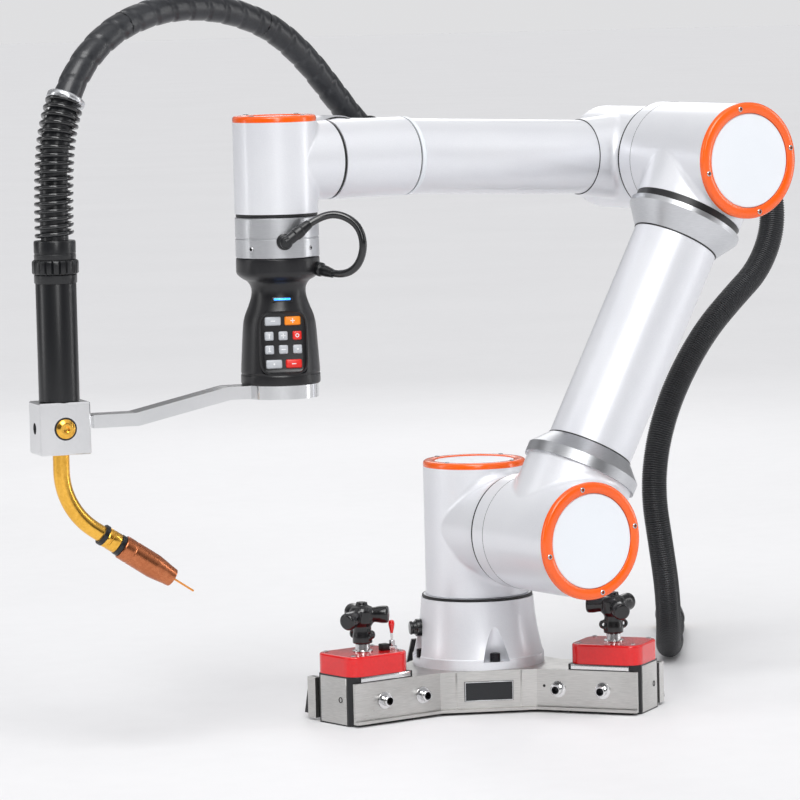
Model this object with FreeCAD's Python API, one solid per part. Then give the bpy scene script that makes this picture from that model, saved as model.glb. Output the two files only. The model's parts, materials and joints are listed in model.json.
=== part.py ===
import FreeCAD, Part
import math
import os
from FreeCAD import Placement, Rotation, Vector

# A six-axis welding robot arm on a three-legged stand that grips with switchable magnets.
# Millimetres and degrees. +Z is up, the first joint's axis is the Z axis, and the magnets
# stand on the plane Z = 0. The forearm points to -X, and the round caps of the shoulder and
# the elbow face -Y.

# ---- running gaps ----
joint_gap = 0.5        # between two castings that turn on each other
spigot_depth = 3.0     # the shallow neck beside each turning gap, which holds the dark seal
spigot_step = 2.5      # how much smaller that neck is than its casting

# ---- stand ----
leg_angles = {"left": 184, "right": 304, "rear": 64}
sheet = 3.0
stand_bottom = 3.0
stand_top = 44.0
leg_width = 70.0
panel_distance = 69.0  # from the first axis to the outer face of each panel between the legs
wing_end = 185.0       # how far the side plates of a leg reach from the first axis
bottom_lip = 4.0
end_flange = 10.0
gusset_top = 11.0
gusset_foot = 20.0
gusset_thickness = 6.0

# ---- switchable magnets ----
magnet_radius = 148.0  # from the first axis to each magnet's knob
magnet_length = 75.0
magnet_height = 50.0
magnet_corner = 8.0
cover_height = 20.0
cover_corner = 14.0
cover_edge = 2.0
stem_diameter = 15.0
stem_height = 8.0
knob_shaft_diameter = 20.0
knob_shaft_height = 18.0
knob_ear = 5.0
knob_hub_diameter = 25.0
knob_hub_height = 24.0
knob_arm_diameter = 16.0
knob_arm_reach = 27.0
knob_arm_tilt = 12.0
knob_boss_diameter = 12.0
knob_boss_height = 4.0
knob_turn = {"left": 200, "right": 255, "rear": 30}

# ---- toggle switch on the left cover ----
toggle_offset = (30.0, -8.0)
toggle_lever_height = 30.0
toggle_tip_diameter = 6.5

# ---- name plate ----
plate_width = 50.0
plate_height = 20.0
plate_thickness = 1.5

# ---- pedestal ----
pedestal_foot_diameter = 135.0
pedestal_foot_height = 10.0
pedestal_top_diameter = 115.0
pedestal_edge = 1.0        # the small step from the foot up to the hollow flare
flare_hollow = 0.33        # how much of the flare's swell is left halfway up it
first_joint_height = 116.0
pocket_height = 62.0
pocket_radius = 14.0
pocket_inset = 1.5         # from the foot's edge to the middle of each pocket
pocket_sink = 2.0          # how far each pocket goes down into the foot
pocket_angle = -108.0
pocket_count = 4
pedestal_screw_diameter = 11.0
pedestal_screw_height = 9.0
connector_angle = 158.0
connector_diameter = 14.0
connector_reach = 15.0
connector_flange_diameter = 18.0
connector_flange_reach = 9.0
connector_level = 38.0

# ---- turret ----
turret_diameter = 105.0
turret_top = 253.0
shoulder_height = 186.0     # the second axis
turret_branch_diameter = 110.0
shoulder_plane = -79.0      # where the upper arm turns against the turret
tee_blend = 10.0

# ---- caps ----
cap_ring_height = 6.0
cap_recess = 1.2
cap_rim = 11.0

# ---- upper arm ----
upper_arm_length = 420.0    # from the second axis to the third
upper_arm_lean = 29.0       # from upright towards +X
arm_plane = -138.0          # the tube's own plane
arm_cap_plane = -205.0
arm_casting_diameter = 116.0
arm_branch_diameter = 111.0
arm_tube_diameter = 87.0
lower_branch_stub = 10.0   # how far the lower branch stands out of its casting
lower_band_height = 11.0
lower_cone_height = 16.0
upper_cone_height = 26.0
elbow_band_height = 8.0
elbow_branch_stub = 1.0    # how far the upper branch stands out of its casting
flange_diameter = 117.0

# ---- forearm ----
elbow_plane = -61.0         # where the forearm turns against the upper arm
forearm_length = 395.0      # from the third axis to the fourth
forearm_tilt = 2.5          # how far the forearm rises towards the wrist
forearm_plane = -10.0
forearm_casting_diameter = 106.0
forearm_back = 36.0
forearm_flare_end = 72.0
forearm_flare_diameter = 90.0
forearm_tube_diameter = 76.0
housing_reach = 65.0       # from the fourth axis to the housing's seam
housing_diameter = 81.0

# ---- wrist ----
wrist_plane = -58.0         # where the first wrist piece turns against the forearm
wrist_offset = 92.0         # from the forearm's plane to the plane of the fifth axis
wrist_1_diameter = 77.0
wrist_1_front = 46.0        # from the fourth axis to the line of the fifth joint
wrist_1_back = 42.0
wrist_2_distance = 102.0    # from the fourth axis to the sixth
wrist_2_diameter = 81.0
wrist_2_top = 45.0          # above the fifth axis
wrist_2_bottom = 52.0       # below the fifth axis, the line of the sixth joint
wrist_blend = 6.0

# ---- tool flange and handle, measured down from the line of the sixth joint ----
flange_ring_diameter = 81.0
upper_ring_end = 21.0
lower_ring_end = 39.0
ring_groove = 1.2
collar_end = 55.0
neck_level = 70.0
neck_diameter = 52.0
waist_level = 97.0
waist_diameter = 68.0
belly_level = 150.0
belly_diameter = 77.0
handle_end = 162.0
handle_foot_diameter = 74.0
keypad_direction = 245.0
keypad_width = 48.0
keypad_bottom = 152.0
keypad_top = 90.0
keypad_set_back_bottom = 8.5
keypad_set_back_top = 14.0
key_thickness = 3.0
key_seat = 1.0
light_width = 17.0
light_height = 3.5
light_level = 79.0

# ---- bracket and clamp block ----
bar_direction = 166.0
bracket_disc_diameter = 73.0
bracket_thickness = 13.0
bar_width = 25.0
bar_crank_start = 58.0
bar_crank_end = 150.0
bar_drop = 20.0
bar_stub = 5.0             # the narrow stretch between the bar and the clamp block
bar_neck_width = 18.0
torch_distance = 222.0
block_length = 50.0
block_depth = 40.0
block_height = 50.0
block_bottom = 218.0
clamp_bolt_diameter = 19.0
clamp_bolt_height = 4.0
side_hole_diameter = 11.0
side_hole_depth = 10.0

# ---- welding torch ----
torch_seat_diameter = 26.0
torch_tube_diameter = 39.0
torch_tube_length = 113.0
torch_collar_diameter = 41.0
torch_collar_height = 8.5
torch_nut_diameter = 44.5
torch_nut_height = 14.0
torch_sleeve_diameter = 40.0
torch_sleeve_height = 18.0
neck_tube_diameter = 16.0
neck_drop = 17.0
neck_radius = 70.0
neck_turn = 56.0
neck_run = 8.0
insulator_diameter = 21.0
insulator_length = 5.0
neck_collar_diameter = 20.0
neck_collar_length = 14.0
nozzle_diameter = 24.0
nozzle_tip_diameter = 18.0
nozzle_length = 60.0
nozzle_taper = 22.0
nozzle_recess = 3.0
wire_diameter = 2.0
wire_length = 25.0

# ---- hose from the torch to the floor, and the short cable of the handle ----
hose_diameter = 27.0
spring_diameter = 38.0
spring_clearance = 0.25
hose_points = [
    (-508.4, -48.3, 504.1),
    (-508.4, -48.3, 558.0),
    (-500.5, -46.3, 615.0),
    (-474.0, -40.0, 664.0),
    (-436.0, -31.0, 696.5),
    (-390.0, -20.0, 714.5),
    (-341.0, -8.2, 722.0),
    (-292.0, 3.5, 719.5),
    (-250.0, 13.5, 710.5),
    (-210.0, 22.9, 695.0),
    (-169.2, 32.7, 665.8),
    (-133.7, 41.0, 630.2),
    (-100.2, 50.0, 596.6),
    (-60.0, 55.0, 571.0),
    (-12.0, 58.5, 560.0),
    (50.0, 59.0, 557.0),
    (120.0, 59.0, 557.0),
    (180.0, 59.0, 561.0),
    (238.0, 60.0, 570.0),
    (294.0, 61.0, 580.0),
    (348.0, 62.0, 583.0),
    (399.0, 61.0, 565.0),
    (431.0, 59.0, 522.0),
    (437.0, 57.0, 470.0),
    (414.0, 54.0, 424.0),
    (374.0, 51.0, 394.0),
    (338.0, 50.0, 363.0),
    (308.0, 50.0, 325.0),
    (284.0, 50.0, 284.0),
    (268.0, 50.0, 238.0),
    (263.0, 50.0, 190.0),
    (271.0, 49.0, 137.0),
    (281.0, 52.0, 86.0),
    (296.0, 71.0, 41.0),
    (321.0, 107.0, 15.0),
    (356.0, 147.0, 14.5),
    (385.0, 190.0, 14.5),
    (420.0, 230.0, 16.5),
    (448.0, 272.0, 16.5),
]
# a piece of hose ends halfway along the run after the numbered point
hose_ends = {"hose_torch": 4, "hose_arch": 8, "hose_wrist": 13, "hose_forearm": 18,
             "hose_elbow": 25, "hose_drop": 30, "hose_foot": None}
spring_points = 2          # the spring ends halfway along the run after this point
clip_runs = (14, 15)       # a clip stands halfway along the run after each of these points
clip_width = 16.0
clip_wall = 4.0
plug_diameter = 32.0
plug_length = 62.0
plug_nose = 14.0
cable_diameter = 7.5
cable_points = [
    (-294.3, -152.0, 508.0),
    (-281.3, -155.1, 517.4),
    (-264.3, -166.0, 522.0),
    (-249.3, -179.0, 511.0),
    (-246.3, -185.0, 490.0),
    (-250.3, -178.0, 469.0),
    (-259.3, -161.0, 461.0),
    (-264.3, -144.0, 465.0),
]

X_AXIS = Vector(1, 0, 0)
Y_AXIS = Vector(0, 1, 0)
Z_AXIS = Vector(0, 0, 1)


def plan(angle):
    """The horizontal direction at an angle from +X."""
    a = math.radians(angle)
    return Vector(math.cos(a), math.sin(a), 0)


def rod(diameter, start, direction, length):
    return Part.makeCylinder(diameter / 2, length, start, direction)


def pipe_ring(outer, inner, start, direction, length):
    return rod(outer, start, direction, length).cut(rod(inner, start, direction, length))


def turned(outline, start, direction):
    """A solid turned about the line from start, with its outline as (radius, distance) pairs."""
    corners = [Vector(r, 0, d) for r, d in outline]
    wire = Part.makePolygon(corners + corners[:1])
    solid = Part.Face(wire).revolve(Vector(0, 0, 0), Z_AXIS, 360)
    solid.Placement = Placement(start, Rotation(Z_AXIS, direction))
    return solid


def plate(corners, low, high):
    """An upright prism over a list of (x, y) corners."""
    wire = Part.makePolygon([Vector(x, y, low) for x, y in corners + corners[:1]])
    return Part.Face(wire).extrude(Vector(0, 0, high - low))


def block(low, high):
    return Part.makeBox(high[0] - low[0], high[1] - low[1], high[2] - low[2], Vector(*low))


def placed(shape, origin, angle):
    """A copy turned about its own Z and moved, so that its X points along plan(angle)."""
    copy = shape.copy()
    copy.Placement = Placement(origin, Rotation(Z_AXIS, angle)).multiply(copy.Placement)
    return copy


def meeting_edges(shape):
    """The edges where two round surfaces run into each other."""
    plain = ("Part::GeomCircle", "Part::GeomLine")
    return [e for e in shape.Edges if e.Curve.TypeId not in plain]


def tee(body, branch, radius):
    """Two round pieces cast as one, with a soft blend where they meet."""
    joined = body.fuse(branch).removeSplitter()
    return joined.makeFillet(radius, meeting_edges(joined))


def cap_ring(diameter, start, direction):
    rim = diameter / 2
    inner = rim - cap_rim
    edge = 1.5
    outline = [(inner, 0), (rim, 0), (rim, cap_ring_height - edge),
               (rim - edge, cap_ring_height), (inner, cap_ring_height)]
    return turned(outline, start, direction)


def cap_disc(diameter, start, direction):
    return rod(diameter - 2 * cap_rim, start, direction, cap_ring_height - cap_recess)


def bends(points):
    """The arc at each inner point of a route, as its start, middle, end and radius."""
    nodes = [Vector(*p) for p in points]
    arcs = []
    for before, corner, after in zip(nodes, nodes[1:], nodes[2:]):
        back = before - corner
        ahead = after - corner
        half_turn = (math.pi - back.getAngle(ahead)) / 2
        reach = 0.45 * min(back.Length, ahead.Length)
        radius = reach / math.tan(half_turn)
        back.normalize()
        ahead.normalize()
        middle_way = back + ahead
        middle_way.normalize()
        inset = radius / math.cos(half_turn) - radius
        arcs.append((corner + back * reach, corner + middle_way * inset,
                     corner + ahead * reach, radius))
    return arcs


def path_through(start, arcs, end):
    """Straight runs from start to end, joined by the arcs."""
    edges = []
    at = Vector(*start)
    for first, middle, last, _ in arcs:
        edges.append(Part.makeLine(at, first))
        edges.append(Part.Arc(first, middle, last).toShape())
        at = last
    edges.append(Part.makeLine(at, Vector(*end)))
    return Part.Wire(edges)


def tube_along(name, path, outer, inner=None):
    """A round tube along a path, with a printed line that compares its volume with its section."""
    start = path.Edges[0].firstVertex().Point
    direction = path.Edges[0].tangentAt(path.Edges[0].FirstParameter)
    solid = path.makePipeShell([Part.Wire(Part.makeCircle(outer / 2, start, direction))], True, True)
    if inner:
        solid = solid.cut(path.makePipeShell([Part.Wire(Part.makeCircle(inner / 2, start, direction))],
                                             True, True))
    area = math.pi * (outer ** 2 - (inner or 0) ** 2) / 4
    print(f"{name}: {path.Length:.0f} mm long, volume share {solid.Volume / (area * path.Length):.3f}")
    return solid


def halfway(first, second):
    return tuple((a + b) / 2 for a, b in zip(first, second))


parts = {}

# ---- places worked out from the driving sizes ----
lower_branch_end = arm_casting_diameter / 2 + lower_branch_stub
lower_band_end = lower_branch_end + lower_band_height
lower_cone_end = lower_band_end + lower_cone_height
elbow_band_end = upper_arm_length - arm_casting_diameter / 2 - elbow_branch_stub
upper_cone_end = elbow_band_end - elbow_band_height
upper_cone_start = upper_cone_end - upper_cone_height
housing_start = forearm_length - housing_reach
third_axis = Vector(upper_arm_length * math.sin(math.radians(upper_arm_lean)), 0,
                    shoulder_height + upper_arm_length * math.cos(math.radians(upper_arm_lean)))
arm_up = Vector(math.sin(math.radians(upper_arm_lean)), 0, math.cos(math.radians(upper_arm_lean)))
forearm_way = Vector(-math.cos(math.radians(forearm_tilt)), 0, math.sin(math.radians(forearm_tilt)))
fourth_axis = third_axis + forearm_way * forearm_length
fifth_plane = forearm_plane - wrist_offset
wrist_centre = Vector(fourth_axis.x, fifth_plane, fourth_axis.z)
sixth_axis = Vector(fourth_axis.x - wrist_2_distance, fifth_plane, 0)
sixth_joint_height = fourth_axis.z - wrist_2_bottom
inner_width = leg_width - 2 * sheet


def tool_point(level):
    """The point on the sixth axis this far under the line of the sixth joint."""
    return Vector(sixth_axis.x, sixth_axis.y, sixth_joint_height - level)


def stand_outline(inset):
    """The corners of the stand in plan, drawn in by an inset, with open leg ends."""
    half = leg_width / 2 - inset
    distance = panel_distance - inset
    near = (distance - half * math.sin(math.radians(60))) / math.cos(math.radians(60))
    return half, near


def leg_corners(inset, reach):
    """The plan outline of the three-legged shape whose legs end at the given reach."""
    half, near = stand_outline(inset)
    corners = []
    for angle in sorted(leg_angles.values()):
        along = plan(angle)
        across = plan(angle + 90)
        for distance, side in ((near, -1), (reach, -1), (reach, 1), (near, 1)):
            spot = along * distance + across * (side * half)
            corners.append((spot.x, spot.y))
    return corners


def make_stand():
    plate_reach = magnet_radius - magnet_length / 2
    parts["stand_top_plate"] = plate(leg_corners(sheet, plate_reach), stand_top - sheet, stand_top)
    shell = plate(leg_corners(0, wing_end), stand_bottom, stand_top)
    hollow = plate(leg_corners(sheet, wing_end + 1), stand_bottom - 1, stand_top + 1)
    lip = plate(leg_corners(-bottom_lip, wing_end), stand_bottom, stand_bottom + sheet)
    skirts = shell.cut(hollow).fuse(lip.cut(hollow))
    flanges = []
    gussets = []
    for name, sides in (("left", (-1,)), ("right", (1,)), ("rear", (-1, 1))):
        for side in sides:
            edge = side * leg_width / 2
            tip = side * (leg_width / 2 + end_flange)
            low = min(edge, tip)
            flange = block((wing_end - sheet, low, stand_bottom), (wing_end, low + end_flange, stand_top))
            flanges.append(placed(flange, Vector(0, 0, 0), leg_angles[name]))
            foot = stand_bottom + sheet
            outline = [Vector(0, edge, foot), Vector(0, edge + side * gusset_foot, foot),
                       Vector(0, edge + side * gusset_top, stand_top), Vector(0, edge, stand_top)]
            face = Part.Face(Part.makePolygon(outline + outline[:1]))
            wedge = face.extrude(Vector(-gusset_thickness, 0, 0))
            wedge.translate(Vector(wing_end - sheet, 0, 0))
            gussets.append(placed(wedge, Vector(0, 0, 0), leg_angles[name]))
    for flange in flanges:
        skirts = skirts.fuse(flange)
    parts["stand_skirts"] = skirts.removeSplitter()
    parts["stand_gussets"] = Part.makeCompound(gussets)


def rounded_block(length, width, low, high, corner):
    body = block((-length / 2, -width / 2, low), (length / 2, width / 2, high))
    upright = [e for e in body.Edges if abs(e.tangentAt(e.FirstParameter).z) > 0.9]
    return body.makeFillet(corner, upright)


def make_magnets():
    blocks = []
    covers = []
    stems = []
    for angle in leg_angles.values():
        centre = plan(angle) * magnet_radius
        body = block((-magnet_length / 2, -inner_width / 2, 0),
                     (magnet_length / 2, inner_width / 2, magnet_height))
        outer = [e for e in body.Edges
                 if abs(e.tangentAt(e.FirstParameter).z) > 0.9 and e.CenterOfMass.x > 0]
        blocks.append(placed(body.makeChamfer(magnet_corner, outer), centre, angle))
        cover = rounded_block(magnet_length, inner_width, magnet_height,
                              magnet_height + cover_height, cover_corner)
        top = [e for e in cover.Edges if e.CenterOfMass.z > magnet_height + cover_height - 0.1]
        covers.append(placed(cover.makeFillet(cover_edge, top), centre, angle))
        foot = centre + Vector(0, 0, magnet_height + cover_height)
        stems.append(rod(stem_diameter, foot, Z_AXIS, stem_height))
    parts["magnet_blocks"] = Part.makeCompound(blocks)
    parts["magnet_covers"] = Part.makeCompound(covers)
    parts["magnet_stems"] = Part.makeCompound(stems)


def make_knobs():
    base = magnet_height + cover_height + stem_height + joint_gap
    for name, angle in leg_angles.items():
        foot = plan(angle) * magnet_radius + Vector(0, 0, base)
        knob = rod(knob_shaft_diameter, foot, Z_AXIS, knob_shaft_height)
        ears = block((-knob_shaft_diameter / 2 - knob_ear, -4, 4),
                     (knob_shaft_diameter / 2 + knob_ear, 4, 15))
        knob = knob.fuse(placed(ears, foot, knob_turn[name] + 90))
        head = foot + Vector(0, 0, knob_shaft_height)
        bulge = 4.0
        outline = [(0, 0), (knob_hub_diameter / 2 - bulge, 0), (knob_hub_diameter / 2, bulge),
                   (knob_hub_diameter / 2, knob_hub_height - 2 * bulge),
                   (knob_hub_diameter / 2 - bulge, knob_hub_height - bulge),
                   (knob_boss_diameter / 2, knob_hub_height - bulge),
                   (knob_boss_diameter / 2, knob_hub_height - bulge + knob_boss_height),
                   (0, knob_hub_height - bulge + knob_boss_height)]
        knob = knob.fuse(turned(outline, head, Z_AXIS))
        middle = head + Vector(0, 0, knob_hub_height / 2 - 1)
        for turn in range(3):
            way = plan(knob_turn[name] + 120 * turn)
            way.z = -math.sin(math.radians(knob_arm_tilt)) if turn == 0 else 0
            knob = knob.fuse(rod(knob_arm_diameter, middle, way, knob_arm_reach))
        parts["magnet_knob_" + name] = knob


def make_toggle_switch():
    top = magnet_height + cover_height
    foot = plan(leg_angles["left"]) * magnet_radius + Vector(toggle_offset[0], toggle_offset[1], top)
    nut_height = 4.0
    lever_foot = 10.0
    tip = toggle_tip_diameter / 2
    nut = rod(10, foot, Z_AXIS, nut_height)
    bushing = rod(6, foot, Z_AXIS, lever_foot)
    height = toggle_lever_height
    lever = turned([(0, lever_foot - 2), (1.6, lever_foot - 2), (1.8, height * 0.5), (tip, height - 3),
                    (tip * 0.6, height), (0, height)], foot, Z_AXIS)
    box = block((-14, -4, 0), (-5, 4, 7))
    parts["toggle_switch"] = nut.fuse(bushing).fuse(lever).fuse(placed(box, foot, 0))


def make_name_plate():
    way = (leg_angles["left"] + leg_angles["right"]) / 2
    height = (stand_bottom + stand_top) / 2
    body = block((0, -plate_width / 2, height - plate_height / 2),
                 (plate_thickness, plate_width / 2, height + plate_height / 2))
    parts["name_plate"] = placed(body, plan(way) * panel_distance, way)


def make_pedestal():
    foot = pedestal_foot_diameter / 2
    root = foot - pedestal_edge
    top = pedestal_top_diameter / 2
    height = first_joint_height - joint_gap - stand_top
    low = pedestal_foot_height + pedestal_edge
    high = height - spigot_depth
    hollow = Vector(top + (root - top) * flare_hollow, 0, (low + high) / 2)
    curve = Part.Arc(Vector(root, 0, low), hollow, Vector(top, 0, high)).toShape()
    sides = Part.makePolygon([Vector(top, 0, high), Vector(0, 0, high), Vector(0, 0, low),
                              Vector(root, 0, low)])
    flare = Part.Face(Part.Wire([curve, *sides.Edges])).revolve(Vector(0, 0, 0), Z_AXIS, 360)
    flare.Placement = Placement(Vector(0, 0, stand_top), Rotation())
    base = turned([(0, 0), (foot, 0), (foot, pedestal_foot_height), (root, low), (0, low)],
                  Vector(0, 0, stand_top), Z_AXIS)
    neck = rod(pedestal_top_diameter - 2 * spigot_step, Vector(0, 0, stand_top + high), Z_AXIS, spigot_depth)
    body = base.fuse([flare, neck]).removeSplitter()
    floor = stand_top + pedestal_foot_height - pocket_sink
    middle = foot - pocket_inset
    screws = []
    for turn in range(pocket_count):
        way = plan(pocket_angle + 360 * turn / pocket_count)
        pocket = Part.makeCone(pocket_radius, 0, pocket_height, way * middle + Vector(0, 0, floor), Z_AXIS)
        body = body.cut(pocket)
        spot = way * (middle - pedestal_screw_diameter / 2) + Vector(0, 0, floor)
        screws.append(rod(pedestal_screw_diameter, spot, Z_AXIS, pedestal_screw_height))
    parts["pedestal"] = body
    parts["pedestal_screws"] = Part.makeCompound(screws)
    way = plan(connector_angle)
    start = way * (top - 1) + Vector(0, 0, stand_top + connector_level)
    flange = rod(connector_flange_diameter, start, way, connector_flange_reach)
    socket = rod(connector_diameter, start, way, connector_reach)
    parts["pedestal_connector"] = flange.fuse(socket).cut(body)


def make_turret():
    side = Vector(0, -1, 0)
    column = rod(turret_diameter, Vector(0, 0, first_joint_height), Z_AXIS,
                 turret_top - cap_ring_height - first_joint_height)
    rim = turret_branch_diameter / 2
    slim = turret_diameter / 2 - 1.5
    face = -shoulder_plane - joint_gap
    root = turret_diameter / 2 + tee_blend
    branch = turned([(0, 0), (slim, 0), (slim, root), (rim, root + 5), (rim, face - spigot_depth),
                     (rim - spigot_step, face - spigot_depth), (rim - spigot_step, face), (0, face)],
                    Vector(0, 0, shoulder_height), side)
    parts["turret_casting"] = tee(column, branch, tee_blend)
    top = Vector(0, 0, turret_top - cap_ring_height)
    parts["turret_cap_ring"] = cap_ring(turret_diameter, top, Z_AXIS)
    parts["turret_cap"] = cap_disc(turret_diameter, top, Z_AXIS)


def arm_point(distance):
    """A point on the upper arm's tube axis, this far from the second axis."""
    return Vector(0, arm_plane, shoulder_height) + arm_up * distance


def make_upper_arm():
    side = Vector(0, -1, 0)
    shoulder = Vector(0, shoulder_plane, shoulder_height)
    elbow = Vector(third_axis.x, elbow_plane, third_axis.z)
    reach = shoulder_plane - arm_cap_plane - cap_ring_height
    body = rod(arm_casting_diameter, shoulder, side, reach)
    branch = rod(arm_branch_diameter, arm_point(0), arm_up, lower_branch_end)
    parts["shoulder_casting"] = tee(body, branch, tee_blend)
    start = elbow + side * joint_gap
    reach_up = elbow_plane - joint_gap - arm_cap_plane - cap_ring_height
    body = rod(arm_casting_diameter, start, side, reach_up)
    branch = rod(arm_branch_diameter, arm_point(elbow_band_end), arm_up, upper_arm_length - elbow_band_end)
    parts["elbow_casting"] = tee(body, branch, tee_blend)
    parts["elbow_band"] = rod(arm_branch_diameter - 1, arm_point(upper_cone_end), arm_up,
                              elbow_band_end - upper_cone_end)
    wide = flange_diameter / 2
    slim = arm_tube_diameter / 2
    lower = turned([(0, lower_branch_end), (wide, lower_branch_end), (wide, lower_band_end),
                    (slim + 0.8, lower_cone_end), (0, lower_cone_end)], arm_point(0), arm_up)
    upper = turned([(0, upper_cone_start), (slim + 0.8, upper_cone_start), (wide, upper_cone_end - 5),
                    (wide, upper_cone_end), (0, upper_cone_end)], arm_point(0), arm_up)
    parts["arm_flanges"] = Part.makeCompound([lower, upper])
    parts["upper_arm_tube"] = rod(arm_tube_diameter, arm_point(lower_cone_end), arm_up,
                                  upper_cone_start - lower_cone_end)
    rings = []
    discs = []
    for centre in (shoulder, elbow):
        face = Vector(centre.x, arm_cap_plane + cap_ring_height, centre.z)
        rings.append(cap_ring(arm_casting_diameter + 1, face, side))
        discs.append(cap_disc(arm_casting_diameter + 1, face, side))
    parts["arm_cap_rings"] = Part.makeCompound(rings)
    parts["arm_caps"] = Part.makeCompound(discs)


def forearm_point(distance):
    """A point on the forearm's tube axis, this far from the third axis."""
    return Vector(third_axis.x, forearm_plane, third_axis.z) + forearm_way * distance


def make_forearm():
    side = Vector(0, 1, 0)
    start = Vector(third_axis.x, elbow_plane, third_axis.z)
    body = rod(forearm_casting_diameter, start + side * spigot_depth, side,
               forearm_back - elbow_plane - spigot_depth)
    root = forearm_flare_diameter / 2
    flare = turned([(0, 0), (root, 0), (root, 20), (forearm_tube_diameter / 2 + 1, forearm_flare_end),
                    (0, forearm_flare_end)], forearm_point(0), forearm_way)
    neck = rod(forearm_casting_diameter - 2 * spigot_step, start, side, spigot_depth)
    parts["forearm_elbow"] = tee(body, flare, tee_blend).fuse(neck).removeSplitter()
    parts["forearm_tube"] = rod(forearm_tube_diameter, forearm_point(forearm_flare_end), forearm_way,
                                housing_start - forearm_flare_end)
    joint = Vector(fourth_axis.x, wrist_plane, fourth_axis.z)
    body = rod(housing_diameter, joint + side * spigot_depth, side,
               forearm_back - wrist_plane - spigot_depth)
    branch = rod(forearm_tube_diameter, forearm_point(housing_start), forearm_way,
                 forearm_length - housing_start)
    neck = rod(housing_diameter - 2 * spigot_step, joint, side, spigot_depth)
    parts["forearm_housing"] = tee(body, branch, wrist_blend).fuse(neck).removeSplitter()
    rings = []
    discs = []
    for axis, size in ((third_axis, forearm_casting_diameter), (fourth_axis, housing_diameter)):
        face = Vector(axis.x, forearm_back, axis.z)
        rings.append(cap_ring(size, face, side))
        discs.append(cap_disc(size, face, side))
    parts["forearm_cap_rings"] = Part.makeCompound(rings)
    parts["forearm_caps"] = Part.makeCompound(discs)


def make_wrist_1():
    back = Vector(0, 1, 0)
    ahead = Vector(-1, 0, 0)
    tail = wrist_centre - ahead * wrist_1_back
    body = rod(wrist_1_diameter, tail, ahead, wrist_1_back + wrist_1_front - spigot_depth)
    reach = wrist_plane - joint_gap - fifth_plane
    branch = rod(wrist_1_diameter - 3, wrist_centre, back, reach)
    neck = rod(wrist_1_diameter - 2 * spigot_step, wrist_centre, ahead, wrist_1_front)
    parts["wrist_1_casting"] = tee(body, branch, wrist_blend).fuse(neck).removeSplitter()
    parts["wrist_1_cap"] = turned([(0, 0), (wrist_1_diameter / 2 - spigot_step, 0),
                                   (wrist_1_diameter / 2 - spigot_step, 2),
                                   (wrist_1_diameter / 2, 2), (wrist_1_diameter / 2, 6),
                                   (wrist_1_diameter / 2 - 2, 8), (0, 8)], tail, X_AXIS)


def make_wrist_2():
    centre = Vector(sixth_axis.x, fifth_plane, fourth_axis.z)
    low = Vector(centre.x, centre.y, sixth_joint_height)
    body = rod(wrist_2_diameter, low + Vector(0, 0, spigot_depth), Z_AXIS,
               wrist_2_bottom + wrist_2_top - cap_ring_height - spigot_depth)
    body.rotate(low, Z_AXIS, 180)  # its seam lies on the far side from the branch
    reach = wrist_2_distance - wrist_1_front - joint_gap
    branch = rod(wrist_1_diameter, centre, X_AXIS, reach)
    neck = rod(wrist_2_diameter - 2 * spigot_step, low, Z_AXIS, spigot_depth)
    parts["wrist_2_casting"] = tee(body, branch, wrist_blend).fuse(neck).removeSplitter()
    top = centre + Vector(0, 0, wrist_2_top - cap_ring_height)
    parts["wrist_2_cap_ring"] = cap_ring(wrist_2_diameter, top, Z_AXIS)
    parts["wrist_2_cap"] = cap_disc(wrist_2_diameter, top, Z_AXIS)


def make_tool_flange():
    ring = flange_ring_diameter / 2
    groove = ring - ring_groove
    down = Vector(0, 0, -1)
    parts["tool_flange"] = turned([(0, joint_gap), (ring, joint_gap), (ring, upper_ring_end - 1),
                                   (groove, upper_ring_end - 1), (groove, upper_ring_end),
                                   (ring, upper_ring_end), (ring, lower_ring_end),
                                   (0, lower_ring_end)], tool_point(0), down)


def keypad_frame():
    """Where the keypad's sloping face starts at its foot: X points out of it, Z up along it."""
    out = plan(keypad_direction)
    foot = tool_point(keypad_bottom) + out * (belly_diameter / 2 - keypad_set_back_bottom)
    rise = keypad_bottom - keypad_top
    lean = math.degrees(math.atan2(keypad_set_back_top - keypad_set_back_bottom
                                   + (belly_diameter - waist_diameter) / 2 - 4.5, rise))
    turn = Rotation(Z_AXIS, keypad_direction).multiply(Rotation(Y_AXIS, -lean))
    return Placement(foot, turn)


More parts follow.
